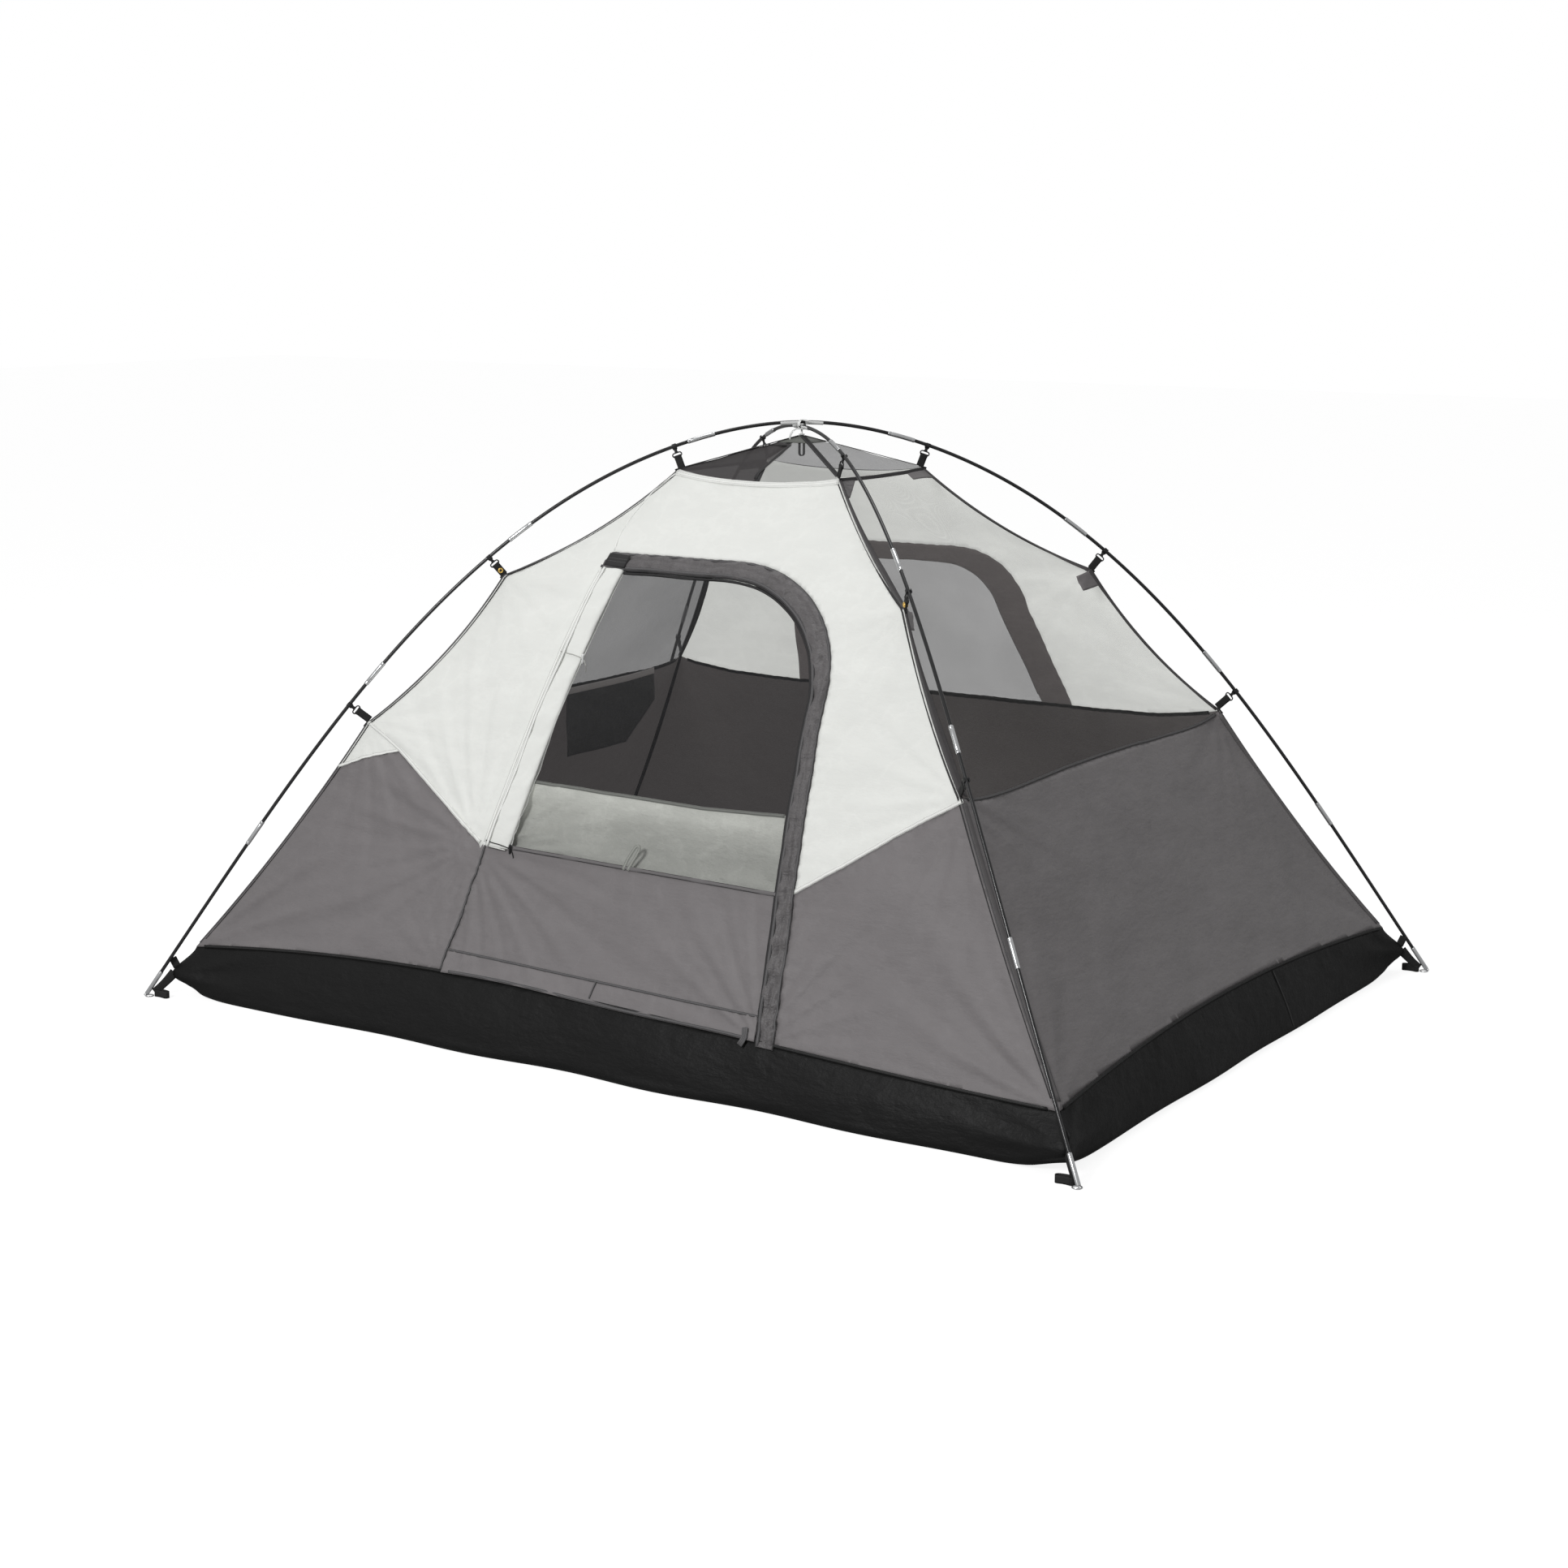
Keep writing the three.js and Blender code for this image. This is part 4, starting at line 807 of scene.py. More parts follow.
# The upper part of the door's hinge is pulled straight by the roll beside it.
FRONT.taut = [(by_hinge(0.0, (1.19, 0.96, 0.73, 0.50)), 0.045)]


# ------------------------------------------------------------------ cloth panels

# Thickness of the cloth, size of its triangles, and its looks outside and inside.
CLOTH = 0.0009
STEP = 0.0105
PALE_PAIR, GREY_PAIR = ["pale", "pale_inside"], ["grey", "grey_inside"]


def wall_triangles(wall, lines, step):
    """Triangles over a whole wall, with edges along the given lines."""
    rim = densify(np.concatenate([wall.edge(), wall.edge()[:1]]), step * 0.8)[:-1]
    points, edges = list(map(tuple, rim)), [(i, (i + 1) % len(rim)) for i in range(len(rim))]
    for line in lines:
        dense = densify(line, step * 0.8)
        start = len(points)
        points += list(map(tuple, dense))
        edges += [(start + i, start + i + 1) for i in range(len(dense) - 1)]
    near = KDTree(len(points))
    for i, p in enumerate(points):
        near.insert((p[0], p[1], 0.0), i)
    near.balance()
    low, high = rim.min(0), rim.max(0)
    fill = []
    for row, z in enumerate(np.arange(low[1], high[1], step * 0.87)):
        for x in np.arange(low[0] + (row % 2) * step / 2, high[0], step):
            fill.append((x, z))
    fill = np.array(fill)
    fill = fill[inside(fill, rim)]
    keep = [near.find((x, z, 0.0))[2] > 0.5 * step for x, z in fill]
    points += list(map(tuple, fill[keep]))
    verts, _, faces, _, _, _ = delaunay_2d_cdt([Vector(p) for p in points], edges, [], 0, 1e-6)
    verts = np.array([tuple(v) for v in verts])
    faces = np.array([f for f in faces if len(f) == 3])
    middle = verts[faces].mean(1)
    return verts, faces[inside(middle, rim)]


def panel(wall, verts, faces, name, node, chosen, looks, slot, body="tent", thick=CLOTH):
    """One panel of cloth: the chosen triangles, set on the wall's folded surface."""
    used, faces = np.unique(faces[chosen], return_inverse=True)
    faces = faces.reshape(-1, 3)
    spots = verts[used]
    points, normals = wall.surface(spots[:, 0], spots[:, 1])
    a, b, c = points[faces.T]
    turned = np.cross(b - a, c - a)
    if (turned * normals[faces[:, 0]]).sum() < 0:
        faces = faces[:, ::-1]
    slant = 1.0 / np.maximum(np.hypot(normals[:, 0], normals[:, 1]), 0.3)
    uv = np.stack([spots[:, 0], spots[:, 1] * slant], -1)
    piece = mesh_object(name, points, faces, looks, body, uv=uv, thickness=thick, node=node)


def front_wall():
    """The front wall's still panels and the door's own, cut from one sheet of triangles."""
    hem = np.array([(x, hem_z(x)) for x in (-0.445, 0.0, 0.495)])
    rolled = np.array([(roll_edge(z), z) for z in (hem_z(-0.36), 0.8, 1.0, 1.188)])
    lines = [arch_line(DOOR), STORM_OUTER, by_hinge(0.0, (1.234, 1.19)), LOWER_LEFT[1:5], LOWER_RIGHT[1:5],
             hem, rolled, by_hinge(0.0, (0.10, 0.5, 0.9, 1.19))]
    verts, faces = wall_triangles(FRONT, lines, STEP)
    middle = verts[faces].mean(1)
    x, z = middle.T
    swinging = x > hinge_x(z)
    door = inside(middle, DOOR_LOOP) & swinging
    corner = (z > 1.189) & (z < 1.2345) & (x < STORM["straight"])
    storm = (inside(middle, STORM_LOOP) | corner) & swinging & ~door
    still = ~storm & ~door
    low_left, low_right = inside(middle, LOWER_LEFT_LOOP) & still, inside(middle, LOWER_RIGHT_LOOP) & still
    below = door & (z < hem_z(x))
    strip = door & ~below & (x < roll_edge(z))
    sewn = (FRONT, verts, faces)
    upper = still & ~low_left & ~low_right
    panel(*sewn, "cloth_front_upper", "front_upper_panel", upper, PALE_PAIR, "light_cloth")
    panel(*sewn, "cloth_front_lower_left", "front_lower_left_panel", low_left, GREY_PAIR, "grey_cloth")
    panel(*sewn, "cloth_front_lower_right", "front_lower_right_panel", low_right, GREY_PAIR, "grey_cloth")
    panel(*sewn, "cloth_door_lower", "door_lower_panel", below, GREY_PAIR, "grey_cloth", "front_door")
    panel(*sewn, "netting_door_window", "door_window_mesh", door & ~below & ~strip, "door_net", "mesh",
          "front_door", thick=0.0)
    panel(*sewn, "cloth_door_hinge_side", None, strip, "pale", "light_cloth", "front_door")


def window_line(half_top, half_foot, top, corner, foot):
    """Open outline of the back window, up one side and down the other."""
    spring = top - corner
    t = np.linspace(0, 1, 20)[:, None]
    low, middle, high = np.array([(half_top, spring), (half_top, top), (half_top - corner, top)])
    bend = (1 - t) ** 2 * low + 2 * t * (1 - t) * middle + t ** 2 * high
    slope = (half_foot - half_top) / (spring - foot)
    right = np.concatenate([[(half_top + slope * (spring - foot), foot)], bend])
    return np.concatenate([right, right[::-1] * (-1, 1)])


def back_wall():
    """The back wall's panels, the dark band round its window and the window's netting."""
    over = np.linspace(-EDGE_SHARE, EDGE_SHARE, 60)
    seam = BACK.spot(over, np.ones_like(over))
    outer = window_line(0.402, 0.470, 1.209, 0.180, 0.70)
    inner = window_line(0.306, 0.376, 1.156, 0.150, 0.70)
    BACK.seams = [(outer[::3], 0.0010, 0.036, 0.028), (seam[::6], 0.0008, 0.034, 0.024)]
    verts, faces = wall_triangles(BACK, [seam, outer, inner], STEP * 1.25)
    middle = verts[faces].mean(1)
    low = BACK.params(*middle.T)[1] < 1.0
    in_outer, in_inner = inside(middle, outer) & ~low, inside(middle, inner) & ~low
    sewn = (BACK, verts, faces)
    panel(*sewn, "cloth_back_lower", "back_lower_panel", low, GREY_PAIR, "grey_cloth")
    panel(*sewn, "cloth_back_upper", "back_upper_panel", ~low & ~in_outer, PALE_PAIR, "light_cloth")
    panel(*sewn, "cloth_back_window_band", "back_window_band", in_outer & ~in_inner, ["band", "band_inside"],
          "band_cloth", thick=0.0016)
    panel(*sewn, "netting_back_window", "back_window_mesh", in_inner, "window_net", "mesh", thick=0.0)
    return seam, outer, inner


def side_wall(wall):
    """The solid lower panel of a side wall and the netting above it."""
    over = np.linspace(-EDGE_SHARE, EDGE_SHARE, 60)
    seam = wall.spot(over, 1 + SIDE_RISE * (1 - over * over))
    wall.seams = [(seam[::6], 0.0009, 0.036, 0.026)]
    verts, faces = wall_triangles(wall, [seam], STEP * 1.25)
    t, v = wall.params(*verts[faces].mean(1).T)
    low = v < 1 + SIDE_RISE * (1 - t * t)
    net = "net" if wall is RIGHT else "left_net"
    sewn = (wall, verts, faces)
    panel(*sewn, f"cloth_{wall.name}_lower", f"{wall.name}_lower_panel", low, GREY_PAIR, "grey_cloth")
    panel(*sewn, f"netting_{wall.name}_wall", f"{wall.name}_mesh_panel", ~low, net, "mesh", thick=0.0)
    return seam


front_wall()
back_seam, back_outer, back_inner = back_wall()
side_seams = {wall.name: side_wall(wall) for wall in (LEFT, RIGHT)}

# ------------------------------------------------------------------ sewn strips, tapes and hems


def wall_ribbon(name, wall, line, width, look, body="tent", lift=0.0015, thick=0.0010, crown=0.0006,
                columns=5):
    """A narrow strip sewn on a wall along a line of (across, height) places."""
    places, line = line, densify(line, 0.012)
    if np.ndim(width):
        width = np.interp(length_along(line), length_along(places), width)
    points, normals = wall.surface(line[:, 0], line[:, 1], lift)
    Parts(ribbon(points, normals, width, thick, columns, crown)).build(name, look, body)


def ridge_line(wall, side, inset, low, high, count=90):
    """A line on a wall a set distance in from its ridge seam."""
    v = np.linspace(low, high, count)
    size = np.abs(ridge_point(v, 1.0)[:, wall.axis])
    return wall.spot(side * (1 - inset / size), v)


def sew_front():
    """Felled seams and hems of the front wall."""
    low_left = np.array([(-0.9865, 0.643), (-0.897, 0.676), (-0.800, 0.702)])
    upper = [(-0.252, 1.436), (-0.300, 1.400), (-0.330, 1.340), (-0.345, 1.289), (-0.328, 1.238)]
    over = np.linspace(-0.985, 0.985, 60)
    head = FRONT.spot(over, FRONT.roof_station(over) - 0.022)
    wall_ribbon("seam_front_left", FRONT, LEFT_SEAM + (0.004, 0.004), 0.011, "pale_seam")
    wall_ribbon("hem_front_left", FRONT, low_left, 0.008, "pale_seam")
    wall_ribbon("seam_front_right", FRONT, RIGHT_SEAM + (-0.002, 0.005), 0.010, "pale_seam")
    wall_ribbon("seam_front_upper", FRONT, smooth_line(upper, 0.01), 0.005, "pale_seam", lift=0.0008,
                crown=0.0003)
    wall_ribbon("hem_front_top", FRONT, head, 0.016, "pale_seam", lift=0.0010)
    wall_ribbon("seam_door_hinge_low", FRONT, by_hinge(-0.002, (0.500, 0.35, 0.19)), 0.006, "grey_seam",
                crown=0.0012)
    wall_ribbon("seam_door_hinge_high", FRONT, by_hinge(-0.0062, (1.186, 0.9, 0.508)), 0.008, "pale_seam",
                lift=0.0005, thick=0.0008, crown=0.0002)


def edge_tapes():
    """Piping up the ridges, tapes and seams on the netted walls, and tapes round the roof's edge."""
    for wall in (FRONT, BACK):
        for side, label in ((-1, "left"), (1, "right")):
            ridge = wall.at(side * 0.999, np.linspace(0.02, 2.99, 160))
            Parts(tube(ridge, 0.0021)).build(f"piping_{wall.name}_{label}", "grey_seam")
    v = np.linspace(1.02, 2.985, 90)
    tapering = np.where(v < 2, 0.028, 0.020) * (1 - 0.70 * smoothstep((v % 1 - 0.15) / 0.8))
    for wall in (LEFT, RIGHT):
        for side, label, wide in ((-1, "front", tapering), (1, "back", 0.014)):
            line = ridge_line(wall, side, wide * 0.56, 1.02, 2.985)
            wall_ribbon(f"tape_{wall.name}_wall_{label}", wall, line, wide, "ridge_tape", lift=0.0014)
            low = ridge_line(wall, side, 0.0105, 0.03, 0.99)
            wall_ribbon(f"seam_{wall.name}_wall_{label}", wall, low, 0.019, "ridge_seam", lift=0.0012)
    over = np.linspace(-0.975, 0.975, 70)
    for wall in (LEFT, RIGHT, BACK):
        head = wall.spot(over, wall.roof_station(over) - 0.014)
        wall_ribbon(f"tape_{wall.name}_roof_edge", wall, head, 0.012, "dark_tape", lift=0.0012)
    for wall in (LEFT, RIGHT):
        wall_ribbon(f"tape_{wall.name}_wall_middle", wall, side_seams[wall.name][1:-1], 0.007, "grey_seam",
                    lift=0.0012)
    wall_ribbon("seam_back_middle", BACK, back_seam[1:-1], 0.009, "grey_seam")
    for name, line in (("outer", back_outer), ("inner", back_inner)):
        line = densify(line, 0.01)
        line = line[line[:, 1] > RIDGE[1, 2] - 0.006]
        wall_ribbon(f"seam_back_window_{name}", BACK, line, 0.007, "grey_seam", lift=0.0016)


# Reinforcing patches on the netting: place, length down the ridge, widths at top and foot, look.
PATCHES = [("front", "middle", 0.055, 0.050, 0.030, "grey"), ("front", "top", 0.075, 0.085, 0.012, "band"),
           ("back", "middle", 0.050, 0.062, 0.085, "grey"), ("back", "top", 0.046, 0.105, 0.120, "grey")]


def inner_bindings():
    """Dark tape over the seams on the inside, along the four ridges and the walls' middle seams."""
    for corner, (sx, sy, _) in CORNERS.items():
        line = ridge_point(np.linspace(0.04, 2.97, 120), 1.0) * (sx, sy, 1)
        outward = unit(RIDGE[0] * (sx, sy, 0))
        tape = ribbon(line - outward * 0.0075, outward, 0.015, crown=0.001)
        Parts(tape).build(f"binding_inside_{corner}", "dark_tape")
    for wall, seam in ((BACK, back_seam), (LEFT, side_seams["left"]), (RIGHT, side_seams["right"])):
        wall_ribbon(f"binding_inside_{wall.name}_middle", wall, seam[1:-1], 0.011, "dark_tape", lift=-0.0040)


def facing(points, faces, normals, at=0):
    """The faces, turned over if the one of that number looks inwards."""
    a, b, c = (points[i] for i in faces[at][:3])
    return [f[::-1] for f in faces] if np.dot(np.cross(b - a, c - a), normals[faces[at][0]]) < 0 else faces


def corner_patches():
    """Cloth sewn over the netting where the upper clips pull on it."""
    for wall in (LEFT, RIGHT):
        for patch in PATCHES:
            corner_patch(wall, *patch)


def corner_patch(wall, label, level, tall, wide_top, wide_foot, look):
    """One patch, which hangs down the ridge seam from its station."""
    rows = columns = 8
    side = -1 if label == "front" else 1
    spots = []
    for d in np.linspace(0, 1, rows):
        v = min({"middle": 2, "top": 3}[level] - d * tall / 0.55, 2.985)
        reach = 0.002 + np.linspace(0, 1, columns) * (wide_top + (wide_foot - wide_top) * d)
        spots.append(wall.spot(side * (1 - reach / ridge_point(v, 1.0)[1]), v))
    spots = np.concatenate(spots)
    points, normals = wall.surface(spots[:, 0], spots[:, 1], 0.0018)
    faces = facing(points, grid_faces(rows, columns), normals)
    piece = mesh_object(f"patch_{wall.name}_{label}_{level}", points, faces, look, uv=spots, thickness=CLOTH)


# ------------------------------------------------------------------ the front door's parts

ZIP_FOOT, UPPER_TIE, CORD = 0.165, 0.978, 0.0014


def patch_grid(wall, low, high, rows, columns, lift):
    """Points of a cloth strip between two lines; lift(along, across) is its height off the wall."""
    low, high = (np.stack([np.interp(np.linspace(0, 1, rows), length_along(e) / length_along(e)[-1], e[:, k])
                           for k in (0, 1)], -1) for e in (np.asarray(low, float), np.asarray(high, float)))
    share = np.linspace(0, 1, columns)
    spots = low[:, None] * (1 - share)[:, None] + high[:, None] * share[:, None]
    along = np.repeat(length_along(low)[:, None], columns, 1)
    across = np.repeat(share[None], rows, 0)
    points, normals = wall.surface(spots[..., 0], spots[..., 1], lift(along, across))
    width = np.linalg.norm(points[:, -1] - points[:, 0], axis=1).mean()
    uv = np.stack([along, (across - 0.5) * width], -1).reshape(-1, 2)
    points, normals, faces = points.reshape(-1, 3), normals.reshape(-1, 3), grid_faces(rows, columns)
    return points, facing(points, faces, normals, len(faces) // 2), uv, float(along[-1, 0]), float(width)


def storm_flap():
    """The puffed, crumpled flap over the door's zip, with its piping, hems and corner patch."""
    outer = arch_line(STORM, foot=0.148, left=float(hinge_x(1.234)))

    def lift(along, across):
        spot = np.stack([along, across * 0.06], -1)
        puff = 0.0010 + 0.0056 * np.sin(math.pi * np.clip(across, 0, 1)) ** 0.7 + 0.0024 * across
        crumple = 0.0040 * ripple(spot * (1.0, 0.7), 0.046, 11) + 0.0034 * ripple(spot * (0.5, 1.0), 0.08, 12)
        pleat = 0.0030 * np.exp(-(((across - 0.42 - 0.06 * np.sin(along * 11)) / 0.07) ** 2))
        return puff + crumple * np.sin(math.pi * across) ** 0.5 - pleat

    points, faces, uv, long, wide = patch_grid(FRONT, outer, arch_line(DOOR, foot=0.150), 420, 15, lift)
    flap = mesh_object("cloth_door_storm_flap", points, faces, "band", uv=uv, thickness=0.0014,
                       node="door_zip_flap")
    edge = arch_line(STORM, -0.004, foot=0.150, left=float(hinge_x(1.232)) + 0.002)
    wall_ribbon("piping_storm_flap_outer", FRONT, edge, 0.006, "grey_seam", lift=0.0030, crown=0.001)
    hem = arch_line(DOOR, 0.006, foot=0.152)
    wall_ribbon("hem_storm_flap_inner", FRONT, hem, 0.008, "grey_seam", lift=0.0062, crown=0.0012)
    # A dark strip along the flap's inner edge: painted shadow under the edge, together with the dark zip that
    # shows there.
    shade = arch_line(DOOR, 0.0005, foot=0.152)
    wall_ribbon("binding_storm_flap_inner", FRONT, shade, 0.0045, "dark_tape", lift=0.0040, crown=0.0010)
    corner = np.array([(hinge_x(1.212) + 0.004, 1.212), (-0.263, 1.209)])
    wall_ribbon("patch_storm_flap_corner", FRONT, corner, 0.040, "dark_tape", lift=0.0095, thick=0.0014,
                columns=7)


def zip_track():
    """Zip tapes on both sides of the door's edge, folded inwards to the coil that joins them."""
    for name, shift, body in (("zip_tape_tent", 0.0035, "tent"), ("zip_tape_door", -0.0035, "front_door")):
        line = arch_line(DOOR, shift, foot=ZIP_FOOT)[:-2]
        wall_ribbon(name, FRONT, line, 0.0055, "zip", body, lift=-0.0042, thick=0.0008, crown=0.0)
    line = densify(arch_line(DOOR, foot=ZIP_FOOT)[:-2], 0.008)
    points, _ = FRONT.surface(line[:, 0], line[:, 1], -0.0062)
    wave = 1 + 0.18 * np.sin(np.arange(len(points)) * math.pi * 0.5)
    Parts(tube(points, 0.0015 * wave, up=(0, 1, 0))).build("zip_coil", "coil")


def rolled_cover():
    """The window's cover, rolled up along the hinge and held by two toggles."""
    foot, head = hem_z(-0.46) - 0.006, HINGE_TOP[1] - 0.004
    rows, ring = 110, 28
    spots, lifts, uv = [], [], []
    for z in np.linspace(foot, head, rows):
        left, right = hinge_x(z) + 0.003, roll_edge(z) - 0.001
        tie = math.exp(-(((z - UPPER_TIE) / 0.022) ** 2)) + math.exp(-(((z - foot) / 0.03) ** 2))
        thick = 0.0125 * (1 - 0.25 * tie) * (1 + 0.05 * math.sin(z * 31) + 0.04 * math.sin(z * 77 + 1))
        for a in np.linspace(0, 2 * math.pi, ring, endpoint=False):
            c, s = math.cos(a), math.sin(a)
            x = math.copysign(abs(c) ** 0.55, c)
            y = abs(s) ** 0.6 if s > 0 else -0.06 * abs(s)
            wrinkle = 0.0009 * math.sin(z * 47 + 3 * x) + 0.0007 * math.sin(z * 113 - 5 * x + 1)
            layer = 0.0016 * math.exp(-(((x + 0.42 + 0.05 * math.sin(z * 9)) / 0.05) ** 2)) if s > 0 else 0.0
            tilt = 1.0 - 0.16 * x
            spots.append(((left + right) / 2 + x * (right - left) / 2 * (1 - 0.05 * tie), z))
            lifts.append(0.0012 + max(-0.0004, y * thick * tilt + (wrinkle - layer) * max(0.0, s)))
            uv.append((z, 0.05 * a))
    points, normals, _, _ = FRONT.bare(*np.array(spots).T)
    points = points + normals * np.array(lifts)[:, None]
    shape = (points, [f[::-1] for f in capped(rows, ring)], uv)
    roll = Parts(shape).build("cloth_rolled_window_cover", "pale", "front_door", node="rolled_window_cover")
    swirl(foot)
    fold = np.array([(hinge_x(z) + 0.016 + 0.002 * math.sin(z * 21), z) for z in np.linspace(foot, head, 30)])
    wall_ribbon("hem_rolled_window_cover", FRONT, fold, 0.008, "pale_seam", "front_door", lift=0.0152,
                thick=0.0016, crown=0.0008)
    toggle(UPPER_TIE, "upper", ["pale_cord", "clear"])
    toggle(foot + 0.008, "lower", ["cord", "plastic"])


def swirl(foot):
    """The wound edge of the cloth, showing in the open lower end of the roll."""
    z = foot - 0.0005
    left, right = hinge_x(z) + 0.003, roll_edge(z) - 0.001
    middle = (left + right) / 2
    x, z = np.array([middle, middle - 0.0015]), np.array([z, z - 0.02])
    (centre, below), (normal, _), _, _ = FRONT.bare(x, z)
    down = unit(below - centre)
    side = np.cross(down, normal)
    turn = np.linspace(0, 5.2 * math.pi, 110)
    shrink = np.linspace(0.93, 0.18, 110)
    half, high = (right - left) / 2 * 0.93, 0.0042
    path = centre + normal * 0.0052 + side * (np.cos(turn) * shrink * half)[:, None] \
        + normal * (np.sin(turn) * shrink * high)[:, None]
    edge = ribbon(path + down * 0.0008, down, 0.0012, 0.0026, 3)
    Parts(edge).build("swirl_rolled_cover", "pale", "front_door")


def toggle(z, label, looks):
    """Elastic loop round the roll and the little barrel that holds it."""
    left, right = hinge_x(z) + 0.001, roll_edge(z) + 0.001
    angle = np.linspace(0.02 * math.pi, 0.98 * math.pi, 34)
    x = (left + right) / 2 - np.sign(np.cos(angle)) * np.abs(np.cos(angle)) ** 0.72 * (right - left) / 2
    high = 0.0030 + np.sin(angle) ** 0.8 * 0.0108 * (1 + 0.16 * np.cos(angle))
    points, normals, _, _ = FRONT.bare(x, z + 0.012 * np.cos(angle) * 0.5)
    path = points + normals * high[:, None]
    end = path[-1]
    barrel = [(0.0022, -0.014), (0.0036, -0.0125), (0.0040, -0.006), (0.0030, 0.0), (0.0040, 0.006),
              (0.0036, 0.0125), (0.0022, 0.014)]
    tail = end + [(0, 0, 0), (0.010, -0.004, -0.006), (0.014, -0.004, -0.020), (0.012, -0.003, -0.034)]
    parts = Parts(tube(path, CORD))
    parts.add(lathe(barrel, end + (0.004, -0.004, 0.0), (0.25, -0.25, 0.93), 14), 1)
    parts.add(tube(smooth_line(tail, 0.003, 3), CORD))
    parts.build(f"toggle_{label}", looks, "front_door")


def inner_cover():
    """The window's lining, dropped behind the netting and sagging from its two ends."""
    bottom = np.array([(roll_edge(0.497) - 0.030, 0.497), (0.470, 0.484)])
    top = np.array([(roll_edge(INNER_TOP) - 0.025, INNER_TOP - 0.002), (0.2, INNER_TOP - 0.012),
                    (0.440, INNER_TOP - 0.004)])

    def lift(along, across):
        rays = np.arctan2(across + 0.05, along * 1.6 + 0.03)
        far_rays = np.arctan2(across + 0.05, (0.9 - along) * 1.6 + 0.03)
        pull = 0.0060 * np.sin(15 * rays) * np.exp(-along / 0.16) * np.exp(-((across - 0.45) ** 2) * 4)
        far_pull = 0.0020 * np.sin(12 * far_rays) * np.exp(-(0.86 - along) / 0.14)
        droop = -0.0150 - 0.0080 * np.sin(math.pi * np.clip(across * 1.25, 0, 1))
        lip = 0.0085 * smoothstep((across - 0.55) / 0.45)
        fold = 0.0062 * np.sin(6.0 * across + 3.4 * along + 0.9) * np.sin(math.pi * across)
        crumple = 0.0010 * ripple(np.stack([along, across * 0.18], -1), 0.09, 31)
        return np.minimum(droop + lip + fold + pull + far_pull + crumple, -0.0035)

    points, faces, uv, long, wide = patch_grid(FRONT, bottom, top, 120, 34, lift)
    cover = mesh_object("cloth_inner_door_cover", points, faces, "inner", "front_door", uv=uv,
                        thickness=CLOTH, node="inner_door_cover")
    rim = top + [(0.005, -0.002), (0, -0.002), (0, -0.002)]
    wall_ribbon("hem_inner_door_cover", FRONT, rim, 0.009, "inner_hem", "front_door", lift=-0.0045,
                crown=0.001)
    loop = smooth_line([(0.010, 0.492), (0.018, 0.520), (0.030, 0.548), (0.041, 0.556), (0.046, 0.545),
                        (0.036, 0.520), (0.024, 0.492)], 0.004, 5)
    points, normals = FRONT.surface(loop[:, 0], loop[:, 1], 0.0030)
    Parts(ribbon(points, normals, 0.0085, 0.0014, 3)).build("tab_inner_door_cover", "inner_hem", "front_door")


def door_trim():
    """The hems, the zip flap along the door's foot and the binding of its edge."""
    hem = np.array([(roll_edge(0.5) - 0.004, hem_z(-0.38) + 0.001), (0.05, hem_z(0.05) + 0.001),
                    (0.478, hem_z(0.478) + 0.001)])
    base = []
    for x in np.linspace(-0.474, 0.506, 40):
        t, _ = FRONT.params(np.array(x), np.array(0.17))
        base.append((x, FRONT.spot(t, FRONT.tub_station(t))[1] - 0.004 - 0.003 * math.sin(x * 8 + 1)))
    base = np.array(base)

    def lift(along, across):
        crumple = 0.0016 * ripple(np.stack([along, across * 0.06], -1), 0.12, 41) + 0.0028 * np.sin(along * 7)
        return 0.0014 + 0.0050 * across ** 0.8 + crumple * across * np.sin(math.pi * along / 0.98) ** 0.3

    points, faces, uv, long, wide = patch_grid(FRONT, FOOT_SEAM, base, 160, 9, lift)
    flap = mesh_object("cloth_door_foot_flap", points, faces, "grey", "front_door", uv=uv, thickness=0.0012)
    poke = smooth_line([(0.474, 0.186), (0.480, 0.166), (0.470, 0.146)], 0.004, 2)
    join = np.array([(0.012, 0.226), (0.004, 0.186)])
    for name, line, width, look, height, crown, columns in (
            ("hem_door_window", hem, 0.010, "door_hem", 0.0020, 0.0012, 7),
            ("seam_door_foot", FOOT_SEAM, 0.006, "grey_seam", 0.0022, 0.001, 5),
            ("hem_door_foot", base[1:-1] + (0, 0.004), 0.007, "grey_seam", 0.0078, 0.0008, 5),
            ("tab_door_foot", poke, 0.016, "grey_seam", 0.0095, 0.0012, 5),
            ("seam_door_foot_join", join, 0.004, "grey_seam", 0.0062, 0.0006, 5),
            ("binding_door_edge", arch_line(DOOR, -0.004, foot=0.17), 0.006, "dark_tape", 0.0012, 0.0006, 5)):
        wall_ribbon(name, FRONT, line, width, look, "front_door", lift=height, crown=crown, columns=columns)


def hinge_gusset():
    """Cloth along the door's hinge, sewn to the tent on one side and to the door on the other."""
    heights = np.linspace(0.192, 1.180, 90)
    sides = (by_hinge(-0.020, heights), by_hinge(0.020, heights))
    points, faces, uv, long, wide = patch_grid(FRONT, *sides, 90, 13,
                                               lambda along, _: -0.0022 - 0.0008 * np.sin(along * 9))
    gusset = mesh_object("cloth_door_hinge_gusset", points, faces, "gusset", None, uv=uv, thickness=0.0007)
    ends, normal, _, _ = FRONT.bare(*by_hinge(0.0, (0.3, 1.05)).T)
    across = unit(np.cross(unit(ends[1] - ends[0]), normal.mean(0)))
    across = across if across[0] > 0 else -across
    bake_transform(gusset)


sew_front()
edge_tapes()
inner_bindings()
corner_patches()
storm_flap()
zip_track()
rolled_cover()
inner_cover()
door_trim()
hinge_gusset()

# ------------------------------------------------------------------ roof, tub floor and pocket

ROUND = [(FRONT, 1), (RIGHT, 1), (BACK, -1), (LEFT, -1)]


